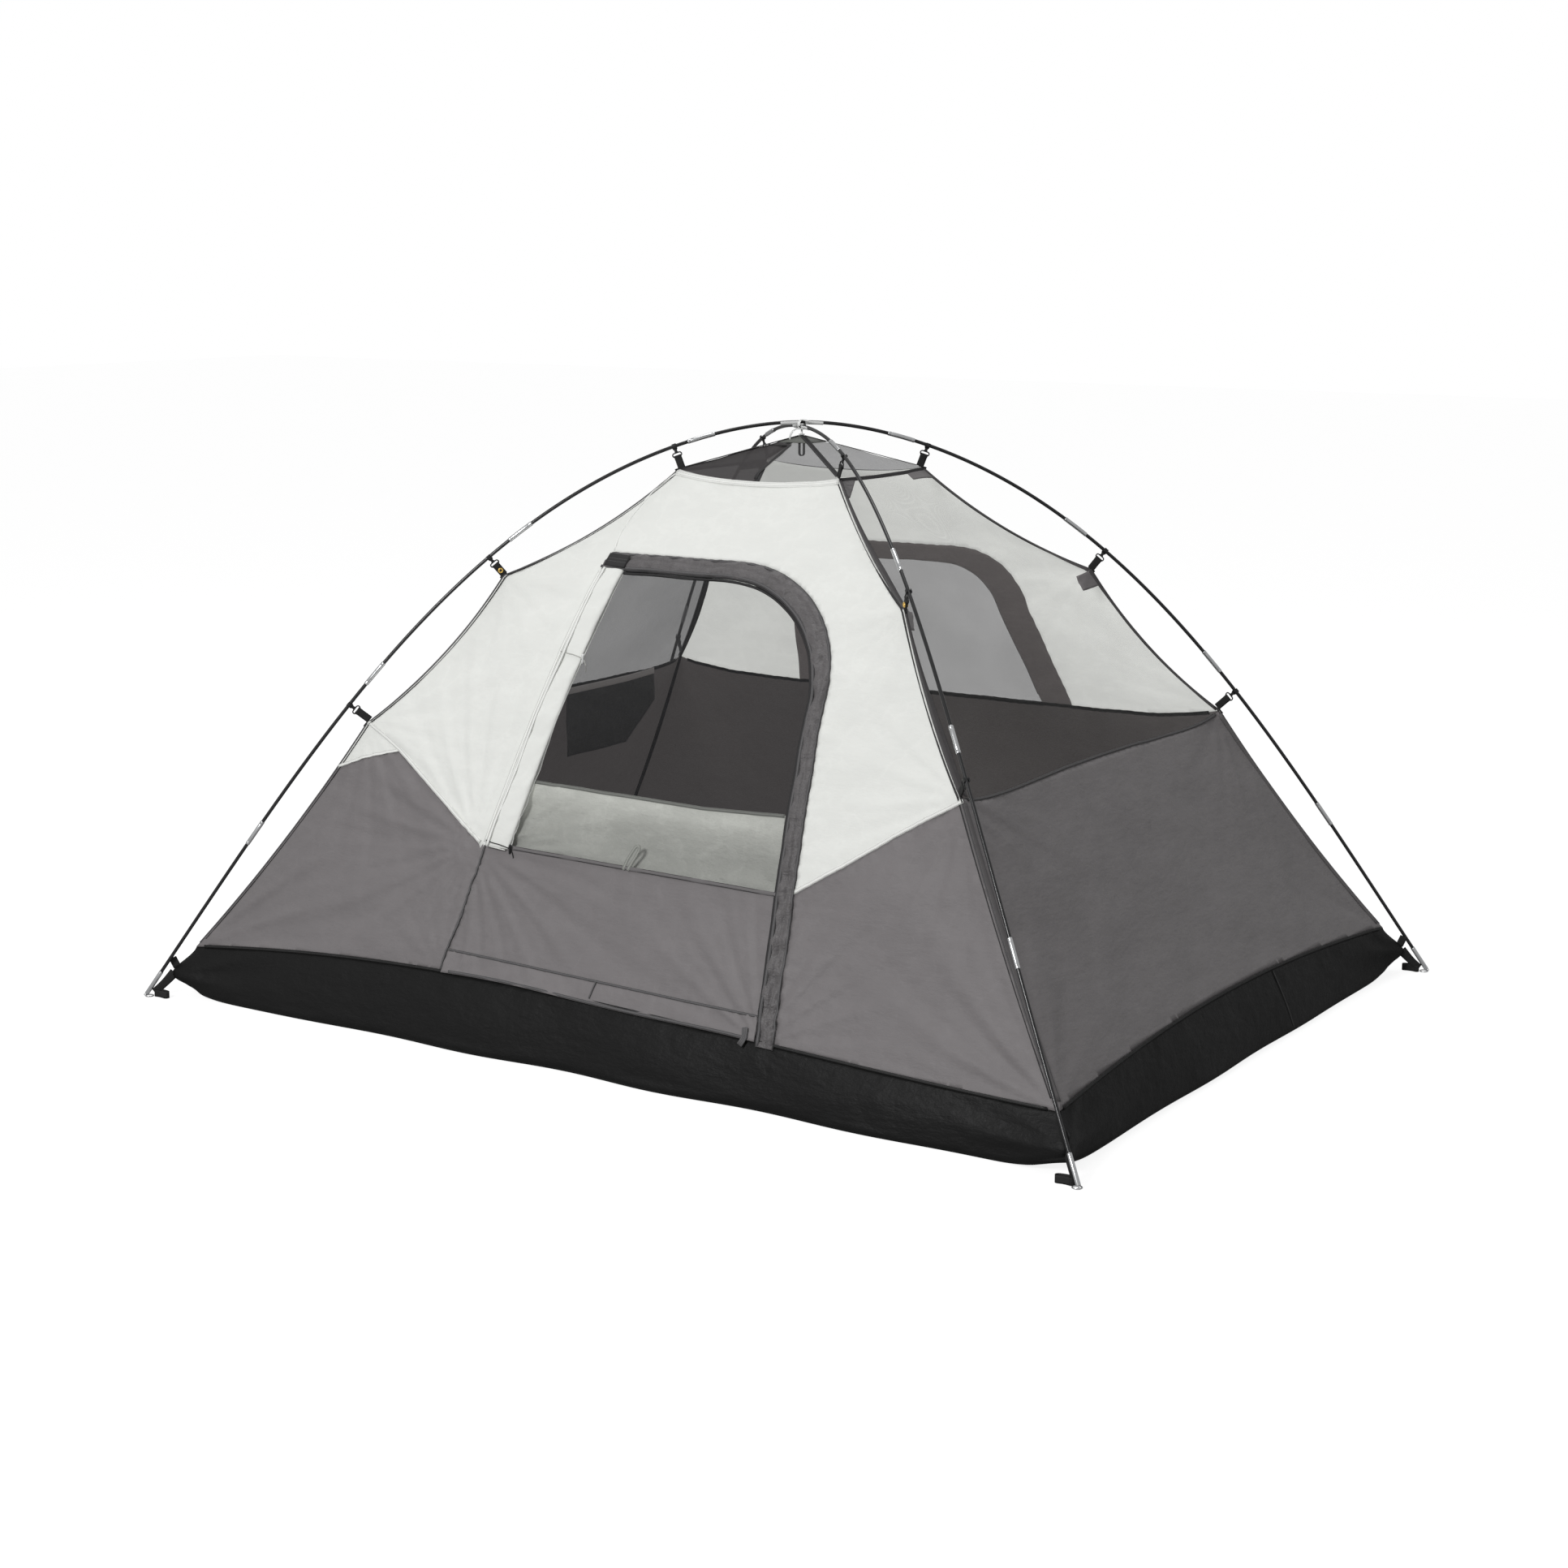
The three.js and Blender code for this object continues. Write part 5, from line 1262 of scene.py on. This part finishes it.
def around(count):
    """Walks once round the tent: (wall, position across it) for each step."""
    for i in range(count):
        turns = i / count * 4
        wall, forward = ROUND[int(turns + 1e-9) % 4]
        yield wall, forward * (2 * (turns - int(turns + 1e-9)) - 1)


def roof():
    """The netting roof, its seam tapes and the patch under its peak."""
    count, rows = 144, 16
    verts = []
    for k in np.linspace(0, 0.992, rows):
        for wall, t in around(count):
            point = wall.at(t, wall.roof_station(t) * (1 - k) + 4 * k)
            point[2] -= 0.004 * math.sin(math.pi * k) * (1 - abs(t)) + 0.0012 * math.sin(9 * t + 14 * k)
            verts.append(point)
    verts = np.array(verts + [RIDGE[4] - (0, 0, 0.0005)])
    faces = grid_faces(rows, count, closed_columns=True) + fan(count, rows * count)
    piece = mesh_object("netting_roof", verts, faces, ["roof_net", "vent_net"], uv=verts[:, :2],
                        node="roof_mesh")
    # The roof's left side and the left half of its front part, short of the peak, take the nearly opaque dark
    # netting: painted shade where the roof is seen against the dark inside.
    for polygon in piece.data.polygons:
        row, column = divmod(min(polygon.vertices), count)
        polygon.material_index = int(column >= 3 * count // 4 or (column < count // 8 and row < 0.7 * rows))
    for sx in (-1, 1):
        for sy in (-1, 1):
            line = ridge_point(np.linspace(3.02, 3.97, 40), 1.0) * (sx, sy, 1) + (0, 0, 0.0014)
            name = f"tape_roof_{'front' if sy < 0 else 'back'}_{'left' if sx < 0 else 'right'}"
            Parts(ribbon(line, UP, 0.015, crown=0.0006)).build(name, "dark_tape")
    # Dark tape along the edge of that painted shade.
    edge = FRONT.roof_station(0.0)
    top = edge * (1 - 0.74) + 4 * 0.74
    border = [(0.0, v) for v in np.linspace(edge + 0.02, top, 20)]
    border += [(t, top) for t in np.linspace(-0.08, -0.98, 14)]
    line = np.array([FRONT.at(t, v) + (0, 0, 0.0005) for t, v in border])
    Parts(ribbon(line, UP, 0.010, 0.0010, crown=0.0004)).build("tape_roof_vent", "dark_tape")
    count = 48
    verts = [wall.at(t, v) + (0, 0, 0.0020) for v in (3.79, 3.86, 3.93) for wall, t in around(count)]
    verts = np.array(verts + [RIDGE[4] + (0, 0, 0.0018)])
    faces = grid_faces(3, count, closed_columns=True) + fan(count, 3 * count)
    piece = mesh_object("patch_roof_peak", verts, faces, "peak", uv=verts[:, :2], thickness=0.0012)


# Half the floor's length and width, and the size of its rounded corners.
FLOOR_X, FLOOR_Y = 1.352, 1.045
CORNER = 0.070


def floor_edge(wall, t):
    """A point on the outline of the floor, with its corners rounded off."""
    along, out = (FLOOR_X, FLOOR_Y)[wall.axis], (FLOOR_Y, FLOOR_X)[wall.axis]
    start = along - CORNER
    run = abs(t) * along
    angle = max(0.0, run - start) / CORNER * math.pi / 4
    point = np.zeros(3)
    point[wall.axis] = math.copysign(min(run, start) + CORNER * math.sin(angle), t)
    point[1 - wall.axis] = wall.sign * (out - CORNER * (1 - math.cos(angle)))
    return point


# The tub's corners are pulled out into ears towards the pins.
TOWARD_PIN = np.array([0.786, 0.618, 0.0])
EAR, EAR_REACH = 0.054, 0.062
# How far the corners lift off the ground, and the radius of the fold along it.
TUCK, TUB_FOLD = 0.016, 0.010


def ear_shape(h):
    """How far a tub corner is pulled out by its strap, from 0 at the top edge to 0 at the ground."""
    return np.sin(math.pi * np.clip(h, 0, 1) ** 1.7)


def tub_corner(corner, h):
    """A point on the outside of a tub corner, from its top edge down to the ground."""
    sign = np.array([*CORNERS[corner][:2], 1.0])
    top, edge = RIDGE[0] * sign, np.array([1.3315, 1.0245, 0.010 + TUCK]) * sign
    pulled = EAR * ear_shape(h) + 0.0075 * math.sin(math.pi * h) - 0.002
    return top * (1 - h) + edge * h + TOWARD_PIN * sign * pulled


def bathtub():
    """The tub: its walls row by row, a rounded fold at the ground, and the floor inwards to its middle."""
    count, wall_rows, fold_rows, floor_rows = 720, 13, 5, 26
    places = tub_places(count)
    edges = np.array([place[3] for place in places])
    run = length_along(edges)
    hold = [1 - abs(place[0]) ** 10 for place in places]
    broad, small, crease = (ripple(np.stack([run, run * 0], -1), wave, seed)
                            for wave, seed in ((0.55, 51), (0.13, 52), (0.05, 53)))
    verts, uv = [], []
    for h in np.arange(wall_rows) / wall_rows:
        belly = math.sin(math.pi * h)
        for i, (t, away, top, edge, outward) in enumerate(places):
            point = top * (1 - h) + edge * h
            point[2] += TUB_FOLD * h
            swell = 0.0075 * belly + 0.0035 * broad[i] * math.sin(math.pi * h * 0.8) * hold[i]
            pucker = 0.0012 * small[i] + 0.0009 * crease[i] * math.exp(-h / 0.25)
            swell += pucker * math.sin(math.pi * min(1, h * 2.2))
            rays = math.sin(9 * math.atan2(h - 0.64, away / 0.15 + 0.05) + 2 * round(i / count * 4))
            swell += 0.0062 * math.exp(-((away / 0.24) ** 2)) * rays * belly * (1 - math.exp(-away / 0.04))
            corner = math.exp(-((away / EAR_REACH) ** 1.5))
            diagonal = TOWARD_PIN * np.sign(point)
            point = point + diagonal * corner * (EAR * ear_shape(h) - 0.002)
            verts.append(point + (outward * (1 - corner) + diagonal * corner) * swell)
            uv.append((run[i], h * 0.15))
    for a in np.linspace(0, math.pi / 2, fold_rows):
        for i, (_, _, _, edge, outward) in enumerate(places):
            rounded = unit(-edge) * (TUB_FOLD * math.sin(a)) + UP * (TUB_FOLD * (1 - math.sin(a)))
            verts.append(edge + rounded + outward * 0.0065 * broad[i] * hold[i])
            uv.append((run[i], 0.15 + a * 0.01))
    for k in np.arange(1, floor_rows + 1) / (floor_rows + 0.5):
        for edge in edges:
            point = (edge + unit(-edge) * 0.012) * ((1 - k) ** 1.1, (1 - k) ** 1.1, max(0.0, 1 - 4 * k))
            verts.append(point)
            uv.append((point[0], point[1]))
    verts, uv = np.array(verts + [np.zeros(3)]), uv + [(0.0, 0.0)]
    first, last = (wall_rows + fold_rows) * count, len(verts) - 1
    spots = verts[first:last, :2]
    lift = 0.0022 * ripple(spots, 0.5, 61) + 0.0012 * ripple(spots, 0.17, 62)
    lift += 0.0010 * np.abs(ripple(spots, 0.09, 63))
    rim = np.repeat(np.arange(1, floor_rows + 1), count) / 4.0
    verts[first:last, 2] += np.maximum(0.0, lift) * smoothstep(rim)
    faces = grid_faces(wall_rows + fold_rows + floor_rows, count, closed_columns=True) + fan(count, last)
    piece = mesh_object("cloth_bathtub_floor", verts, [f[::-1] for f in faces], "tub", uv=uv,
                        thickness=0.0014, node="bathtub_floor")
    tub_seams(places)


def tub_places(count):
    """For each step round the tub: share of the way across, distance from a corner, top, edge, outward."""
    places = []
    for wall, t in around(count):
        top, edge, outward = wall.at(t, wall.tub_station(t)), floor_edge(wall, t), np.zeros(3)
        from_corner = (1 - abs(t)) * (FLOOR_X, FLOOR_Y)[wall.axis]
        edge[2] = TUCK * math.exp(-((from_corner / 0.085) ** 2))
        outward[1 - wall.axis] = wall.sign
        # The folds at the corners go by the short side's length on all four sides.
        places.append((t, (1 - abs(t)) * FLOOR_Y, top, edge, outward))
    return places


def tub_seams(places):
    """Tape along the tub's top edge, and the upright join in its right wall."""
    normals = np.array([place[4] for place in places])
    tops = np.array([place[2] for place in places]) + normals * 0.0020 + (0, 0, 0.0012)
    for k, (wall, _) in enumerate(ROUND):
        part = slice(k * len(places) // 4 + 2, (k + 1) * len(places) // 4 - 1)
        seam = ribbon(tops[part], normals[part], 0.009, 0.0014, 3, 0.0005)
        Parts(seam).build(f"seam_tub_{wall.name}", "black_seam")
    line, t = [], 0.27
    for h in np.linspace(0.03, 0.97, 12):
        point = RIGHT.at(t, RIGHT.tub_station(t)) * (1 - h) + floor_edge(RIGHT, t + 0.03 * h) * h
        line.append(point + (0.0080 * math.sin(math.pi * h) + 0.001, 0, 0.008 * h))
    Parts(ribbon(line, (1, 0, 0), 0.008, 0.0010, 3, 0.0004)).build("seam_tub_right_join", "black_seam")


# The storage pocket: ends of its top edge, that edge's height, and how far it hangs down.
POCKET_NEAR, POCKET_FAR, POCKET_TOP = 0.130, 0.582, 0.745
POCKET_DROP, POCKET_SHORT, POCKET_CUT = 0.208, 0.096, 1 / 3


def pocket():
    """Sewn on the left wall along its top edge, and hanging plumb from there."""
    share = np.linspace(0, 1, 61)
    across = POCKET_FAR + (POCKET_NEAR - POCKET_FAR) * share
    drop = POCKET_SHORT + (POCKET_DROP - POCKET_SHORT) * np.minimum(share / POCKET_CUT, 1)
    top, normal, _, _ = LEFT.bare(across, np.full(61, POCKET_TOP))
    top = top - normal * 0.0066

    def hang(down, out):
        """A line of points some way down the cloth."""
        spot = np.stack([across, down * drop], -1)
        free = np.minimum(down * 4, 1)
        bag = (0.0022 * np.sin(across * 23 + 1) + 0.0016 * ripple(spot, 0.11, 71)) * free
        return top + np.stack([bag + out, 0 * bag, -down * drop], -1)

    points = np.concatenate([hang(down, 0.0) for down in np.linspace(0, 1, 27)])
    piece = mesh_object("cloth_storage_pocket", points, grid_faces(27, 61), "pocket", uv=points[:, 1:],
                        thickness=CLOTH, node="storage_pocket")
    hem = ribbon(hang(0.050, 0.0013), (1, 0, 0), 0.019, 0.0010, crown=0.0004)
    Parts(hem).build("hem_storage_pocket", "pocket_hem")


roof()
bathtub()
pocket()

# ------------------------------------------------------------------ poles

# The poles, as in the CAD: tip, half length, slope at the tip, how the bend eases off, bow to the side.
TIP_X, TIP_Y, TIP_Z = 1.430, 1.102, 0.0075
HALF = 2.479
TIP_SLOPE = math.radians(55.75)
BEND = 2.67
SIDE_BOW = 0.035
SECTIONS = 9
SECTION = 2 * HALF / SECTIONS
ROD, FERRULE, FERRULE_LONG = 0.00475, 0.0060, 0.076
LIFT, SPREAD = 0.0056, 0.260
HEADING = math.atan2(TIP_Y, TIP_X)
STEPS = 1000
_arc = (np.arange(STEPS) + 0.5) * HALF / STEPS
_slope = TIP_SLOPE * (1 - (1 - _arc / HALF) ** BEND)
REACHES = np.concatenate([[0], np.cumsum(np.cos(_slope))]) * HALF / STEPS
DROPS = np.concatenate([[0], np.cumsum(np.sin(_slope))]) * HALF / STEPS
CROWN_Z = TIP_Z + DROPS[-1]


def pole_point(back_sign, lift, arc):
    """Points on a pole; arc runs from its left tip, below zero, over the crown to its right tip."""
    arc = np.asarray(arc, float)
    run = np.abs(arc)
    at = np.minimum(run / HALF, 1.0) * STEPS
    reach, drop = np.interp(at, np.arange(STEPS + 1), REACHES), np.interp(at, np.arange(STEPS + 1), DROPS)
    bow = SIDE_BOW * np.sin(math.pi * (reach / REACHES[-1]) ** 1.5)
    rise = lift * np.exp(-((run / SPREAD) ** 2))
    sign = np.where(arc < 0, -1.0, 1.0)
    return np.stack([sign * (math.cos(HEADING) * reach - math.sin(HEADING) * bow),
                     sign * back_sign * (math.sin(HEADING) * reach + math.cos(HEADING) * bow),
                     CROWN_Z - drop + rise], -1)


POLES = {"a": (1, LIFT), "b": (-1, -LIFT)}


def poles():
    for label, (back, lift) in POLES.items():
        for number in range(SECTIONS):
            start = -HALF + number * SECTION
            low = start + (FERRULE_LONG - 0.02 if number == 0 else 0.0004)
            high = start + SECTION - (FERRULE_LONG - 0.02 if number == SECTIONS - 1 else 0.0)
            rod = tube(pole_point(back, lift, np.linspace(low, high, 28)), ROD, 16)
            node = f"pole_{label}_section_{number + 1}"
            Parts(rod).build(f"rod_{label}_{number + 1}", "rod", node=node)
            if number:
                ferrule(label, back, lift, start, number)
        for sign, end in ((-1, "left"), (1, "right")):
            tip_tube(label, back, lift, sign, end)


def ferrule(label, back, lift, centre, number):
    """A steel sleeve over a joint of the pole, with a crimped groove near each end."""
    half = [(0.3, 1.0), (0.75, 1.0), (0.765, 0.968), (0.785, 0.968), (0.80, 1.0), (0.96, 1.0), (0.985, 0.975),
            (1.0, 0.90)]
    place, radius = np.array([(-s, r) for s, r in half[::-1]] + [(0.0, 1.0)] + half).T
    line = pole_point(back, lift, centre + FERRULE_LONG / 2 * place)
    Parts(tube(line, FERRULE * radius, 22)).build(f"ferrule_{label}_{number}", "steel")


def tip_tube(label, back, lift, sign, end):
    """The hollow steel end of a pole that its pin plugs into."""
    outside = [(0.0, 0.92), (0.0012, 1.0), (0.03, 1.0), (0.0745, 1.0), (FERRULE_LONG, 0.93)]
    inside_it = [(FERRULE_LONG, 0.72), (0.05, 0.72), (0.0, 0.80)]
    count = 22
    shells = []
    for profile in (outside, inside_it[::-1]):
        place, radius = np.array(profile).T
        line = pole_point(back, lift, sign * (HALF - FERRULE_LONG + place))
        shells.append(tube(line, FERRULE * radius, count))
    (outer, _, outer_uv), (inner, _, inner_uv) = shells
    inner = inner.reshape(3, count, 3)[::-1].reshape(-1, 3)
    faces = [f[::-1] for f in grid_faces(8, count, closed_rows=True, closed_columns=True)]
    shape = (np.vstack([outer, inner]), faces, np.vstack([outer_uv, inner_uv]))
    Parts(shape).build(f"tip_tube_{label}_{end}", "steel")


poles()

# ------------------------------------------------------------------ clips

CLIP_ARCS = (1.487, 0.935, 0.352)
CLIP_RADIUS = ROD + 0.00185
# Where the near and far bars of the D-ring are, down from the pole.
RING_NEAR, RING_FAR = 0.0185, 0.0290


def clip(corner, level, number):
    """A pole clip, set on its pole and turned to face its station on the ridge seam."""
    sx, sy, label = CORNERS[corner]
    back, lift = POLES[label]
    arc = sx * CLIP_ARCS[number]
    on_pole = pole_point(back, lift, arc)
    seam = RIDGE[number + 1] * (sx, sy, 1)
    along = unit(pole_point(back, lift, arc + 0.001) - pole_point(back, lift, arc - 0.001))
    down = seam - on_pole
    inward = unit(down - along * (down @ along) * 0.999)
    axes = np.array([unit(np.cross(inward, along)), inward, along])
    clip_hook(corner, level, on_pole, axes)
    clip_webbing(corner, level, on_pole, axes, np.linalg.norm(down) - 0.0005)
    # The end of the webbing, folded into the seam.
    foot = densify([seam - along * 0.011, seam + along * 0.011], 0.004) - inward * 0.0005
    Parts(tube(foot, 0.0024, up=axes[0])).build(f"clip_foot_{corner}_{level}", "webbing")


def clip_hook(corner, level, on_pole, axes):
    """The moulded part: a hook that snaps round the pole, a waisted neck and a D-ring."""
    angle = np.linspace(-0.9, math.pi + 0.5, 26)
    grip = np.stack([np.cos(angle), np.sin(angle), angle * 0], -1)
    flare = 1 + sum(0.22 * np.exp(-((angle - lip) / 0.22) ** 2) for lip in (angle[0], angle[-1]))
    width = 0.013 * (1 - 0.25 * np.abs(np.cos(angle)) ** 4)
    neck = np.linspace(0.0078, RING_NEAR, 9)
    waist = np.interp(neck, [0.0078, 0.011, 0.0135, 0.0165, RING_NEAR],
                      [0.0125, 0.0085, 0.0070, 0.0100, 0.0170])
    half, near, far, cut = 0.0125, RING_NEAR, RING_FAR, 0.003
    ring = smooth_line([(near, 0), (near, half - cut), (near + cut, half), (far - cut, half),
                        (far, half - cut), (far, cut - half), (far - cut, -half), (near + cut, -half),
                        (near, cut - half), (near, -0.001)], 0.0012, 4)
    hook = Parts(ribbon(on_pole + grip * CLIP_RADIUS * flare[:, None] @ axes, grip @ axes, width, 0.0026),
                 ribbon(on_pole + neck[:, None] * axes[1], axes[0], waist, 0.0042, crown=0.0004),
                 tube(on_pole + ring[:-1] @ axes[1:], 0.0018, up=axes[0], closed=True))
    hook.build(f"clip_hook_{corner}_{level}", "plastic", bevel=0.0004, node=f"clip_{corner}_{level}")


def clip_webbing(corner, level, on_pole, axes, end):
    """The webbing that loops through the D-ring, with an eyelet in the middle clips of the front."""
    bar = RING_FAR - 0.0004
    front = [(max(0.0010, 0.0030 - 0.22 * (y - bar)), y) for y in np.linspace(bar, end, 9)]
    over = [(0.0030 * math.cos(a), bar - 0.0030 * math.sin(a)) for a in np.linspace(0, math.pi, 9)[1:-1]]
    path = np.array(front[::-1] + over + [(-x, y) for x, y in front])
    across, inward = np.gradient(path, axis=0).T
    normals = unit(np.stack([-inward, across], -1))
    strap = Parts(ribbon(on_pole + path @ axes[:2], normals @ axes[:2], 0.0200, 0.0014))
    if corner.startswith("front") and level == "middle":
        eyelet = on_pole + axes[1] * ((bar + end) / 2 + 0.002)
        for face in (-1, 1):
            rim = circle(eyelet + axes[0] * face * 0.0033, axes[1], axes[2], 0.0052)
            strap.add(tube(rim, 0.0021, up=axes[0], closed=True), 1)
        strap.add(lathe([(0.0036, -0.0034), (0.0036, 0.0034)], eyelet, axes[0], 16), 2)
    strap.build(f"clip_webbing_{corner}_{level}", ["webbing", "brass", "plastic"])


for corner in CORNERS:
    for number, level in enumerate(("low", "middle", "top")):
        clip(corner, level, number)

# ------------------------------------------------------------------ corner hardware

WIRE, RING = 0.0016, 0.011


def capsule(length, half, count=14):
    """Closed outline of a long rounded loop lying along +X from its near end, in a plane."""
    a = np.linspace(math.pi / 2, 1.5 * math.pi, count)
    b = np.linspace(-math.pi / 2, math.pi / 2, count)
    near = np.stack([np.cos(a) * half, np.sin(a) * half], -1)
    far = np.stack([length - 2 * half + np.cos(b) * half, np.sin(b) * half], -1)
    return densify(np.concatenate([near, far, near[:1]]), 0.003)


def corner_hardware(corner):
    """The pin and ring that plug into a pole's tip, and the strap that holds them to the tub."""
    sx, _, label = CORNERS[corner]
    back, lift = POLES[label]
    tip = pole_point(back, lift, sx * HALF)
    down = unit(tip - pole_point(back, lift, sx * (HALF - 0.002)))
    outward = unit(tip * (1, 1, 0))
    level = np.cross(UP, outward)
    foot = tip + down * ((WIRE + 0.0004 - tip[2]) / down[2])
    reach = np.linalg.norm(foot - tip)
    shank = [(0.0012, -0.050), (0.0020, -0.048), (0.0020, -0.002), (0.0036, -0.0015), (0.0036, 0.0008),
             (0.0020, 0.0012), (0.0019, reach - 0.002), (0.0010, reach - 0.0008)]
    ring = circle(foot - outward * RING, outward, level, RING, 32)
    eye = circle(foot + outward * 0.0015 - down * 0.0052, outward, down, 0.0040, 32)
    pin = Parts(lathe(shank, tip, down, 14), tube(ring, WIRE, 10, closed=True),
                tube(eye, 0.0011, up=level, closed=True))
    pin.build(f"pin_{corner}", "steel", node=f"corner_pin_{corner}")

    low = tip + outward * (0.004 - 2 * RING - WIRE - 0.0012)
    low[2] = 0.0125
    sewn = tub_corner(corner, 0.64) - outward * 0.006
    sagging = [sewn * (1 - k) + low * k - (0, 0, 0.003) for k in (0.38, 0.7)]
    path = smooth_line([sewn, *sagging, low], 0.006, 4)
    width = np.interp(np.linspace(0, 1, len(path)), [0, 0.5, 1], [0.027, 0.022, 0.0195])
    rise = np.linspace(0, 1, 6)[:, None] * (outward * 0.012 + (0, 0, 0.026))
    tab = tub_corner(corner, 0.50) - outward * 0.004 + rise
    inward = np.array([-sx, 0.0, 0.0])
    outline = capsule(0.048, 0.0079)
    loop = low - outward * 0.006 + (outline[:, :1] + 0.004) * inward + outline[:, 1:] * np.cross(UP, inward)
    loop[:, 2] = 0.0102 + 0.0006 * np.sin(outline[:, 0] * 120)
    strap = Parts(ribbon(path - level * 0.0013, level, width, 0.0019),
                  ribbon(path + level * 0.0013, level, width, 0.0019), ribbon(tab, level, 0.021, 0.0034),
                  ribbon(loop, np.cross(tangents(loop), UP), 0.0185, 0.0021))
    strap.build(f"strap_{corner}", "webbing", node=f"corner_strap_{corner}")


def crown_cup(back, lift, sign):
    """The open cup that holds one pole on one side of the crossing."""
    line = pole_point(back, lift, sign * np.linspace(0.010, 0.058, 9))
    along = tangents(line)
    side = unit(np.cross(UP, along))
    up = np.cross(along, side)
    angle = np.linspace(-0.15 * math.pi, 1.15 * math.pi, 11)
    taper = ROD + 0.0005 + 0.0016 * np.linspace(1.0, 0.80, 9)
    rows = [(a, np.full(9, ROD + 0.0005)) for a in angle] + [(a, taper) for a in angle[::-1]]
    verts = [line + side * (np.cos(a) * size)[:, None] - up * (np.sin(a) * size)[:, None] for a, size in rows]
    verts = np.stack(verts, axis=1).reshape(-1, 3)
    return verts, capped(9, len(rows)), verts[:, :2]


for corner in CORNERS:
    corner_hardware(corner)

# ------------------------------------------------------------------ crown clip, lantern loop, slider


def crown_clip():
    """The moulded clip where the poles cross: hub, stem to the peak, four cups, strap, tail and tab."""
    plate = CROWN_Z - LIFT - ROD - 0.0020
    stem = plate - RIDGE[4, 2] - 0.0025
    hub = [(0.0060, -0.0016), (0.0150, -0.0016), (0.0170, -0.0006), (0.0170, 0.0008), (0.0155, 0.0015),
           (0.0050, 0.0015)]
    neck = [(0.0070, -stem - 0.0012), (0.0090, -stem), (0.0084, -0.93 * stem), (0.0034, -0.86 * stem),
            (0.0024, -0.6 * stem), (0.0026, -0.3 * stem), (0.0030, 0.0)]
    body = Parts(lathe(hub, (0, 0, plate), UP, 28), lathe(neck, (0, 0, plate), UP, 18))
    for back, lift in POLES.values():
        for sign in (-1, 1):
            body.add(crown_cup(back, lift, sign))
    a = np.linspace(0, math.pi, 21)
    band = np.stack([0 * a, 0.0150 * np.cos(a), CROWN_Z - 0.004 + 0.0148 * np.abs(np.sin(a)) ** 0.7], -1)
    tail = smooth_line([(-0.006, -0.014, plate), (-0.012, -0.022, plate - 0.003),
                        (-0.020, -0.026, plate - 0.016), (-0.022, -0.028, plate - 0.032)], 0.003, 3)
    tab = smooth_line([(0.004, -0.006, CROWN_Z + 0.012), (0.020, -0.016, CROWN_Z + 0.0125),
                       (0.036, -0.028, CROWN_Z + 0.011)], 0.004, 2)
    body.add(ribbon(band, np.cross(tangents(band), (-1.0, 0, 0)), 0.0080))
    body.add(ribbon(tail, np.cross(tangents(tail), (0.9, -0.43, 0.0)), 0.0075, 0.0018))
    body.add(ribbon(tab, UP, 0.0090, 0.0018))
    body.build("crown_clip_body", "clear", bevel=0.0003, node="crown_clip")


def lantern_loop():
    """A loop of webbing under the peak, and the ring of cord that it swings in."""
    top, half = RIDGE[4, 2] - 0.0092, 0.0071
    outline = capsule(0.046, half)
    loop = np.stack([outline[:, 1], outline[:, 0] * 0, top - half - outline[:, 0]], -1)
    strap = Parts(ribbon(loop, np.cross(tangents(loop), (0, 1.0, 0)), 0.010, 0.0016))
    strap.build("lantern_loop_webbing", "webbing", "lantern_loop", node="lantern_loop")
    keeper = circle(np.array([0, 0, top - 0.0024]), np.array([0, 0.0065, 0]), np.array([0, 0, 0.0060]), 1.0)
    Parts(tube(keeper, 0.0012, up=(1, 0, 0), closed=True)).build("lantern_loop_keeper", "webbing")


def zip_slider():
    middle = np.mean(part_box("zip_slider"), axis=0)
    arch = arch_line(DOOR, foot=ZIP_FOOT)
    ends, _, _, _ = FRONT.bare(arch[[3, 40], 0], arch[[3, 40], 1])
    along = unit(ends[1] - ends[0])
    across = unit(np.cross((0, 1.0, 0), along))
    axes = np.array([across, np.cross(along, across), along])
    body = Parts()
    shell, bridge, pull = (0.012, 0.0055, 0.025), (0.0055, 0.0035, 0.013), (0.0085, 0.0018, 0.034)
    for size, inward, up in ((shell, -0.0035, 0.004), (bridge, 0.0010, 0.004), (pull, 0.0035, -0.008)):
        body.add(block(size, middle + axes[1] * inward + axes[2] * up, axes))
    body.build("zip_slider_body", "zip_metal", "zip_slider", bevel=0.0008, node="zip_slider")


crown_clip()
lantern_loop()
zip_slider()

# ------------------------------------------------------------------ studio floor


def make_floor():
    """The white ground of the studio, which ends nowhere in sight and glows only for the camera."""
    half = 30.0
    n = Nodes("studio_floor")
    speck = n.noise(place(n), 4.0, 4.0)
    seen = n.add("ShaderNodeLightPath").outputs["Is Camera Ray"]
    n.shade(base_color=n.blend(speck, (0.27, 0.27, 0.27, 1), (0.29, 0.29, 0.29, 1)), roughness=0.9,
            emission_color=(1.0, 1.0, 1.0, 1.0), emission_strength=n.math("MULTIPLY_ADD", seen, 0.80, 0.06))
    MATS["floor"] = n.material
    verts = [(x, y, -0.001) for y in (-half, half) for x in (-half, half)]
    mesh_object("floor", verts, grid_faces(2, 2), "floor", None)


make_floor()
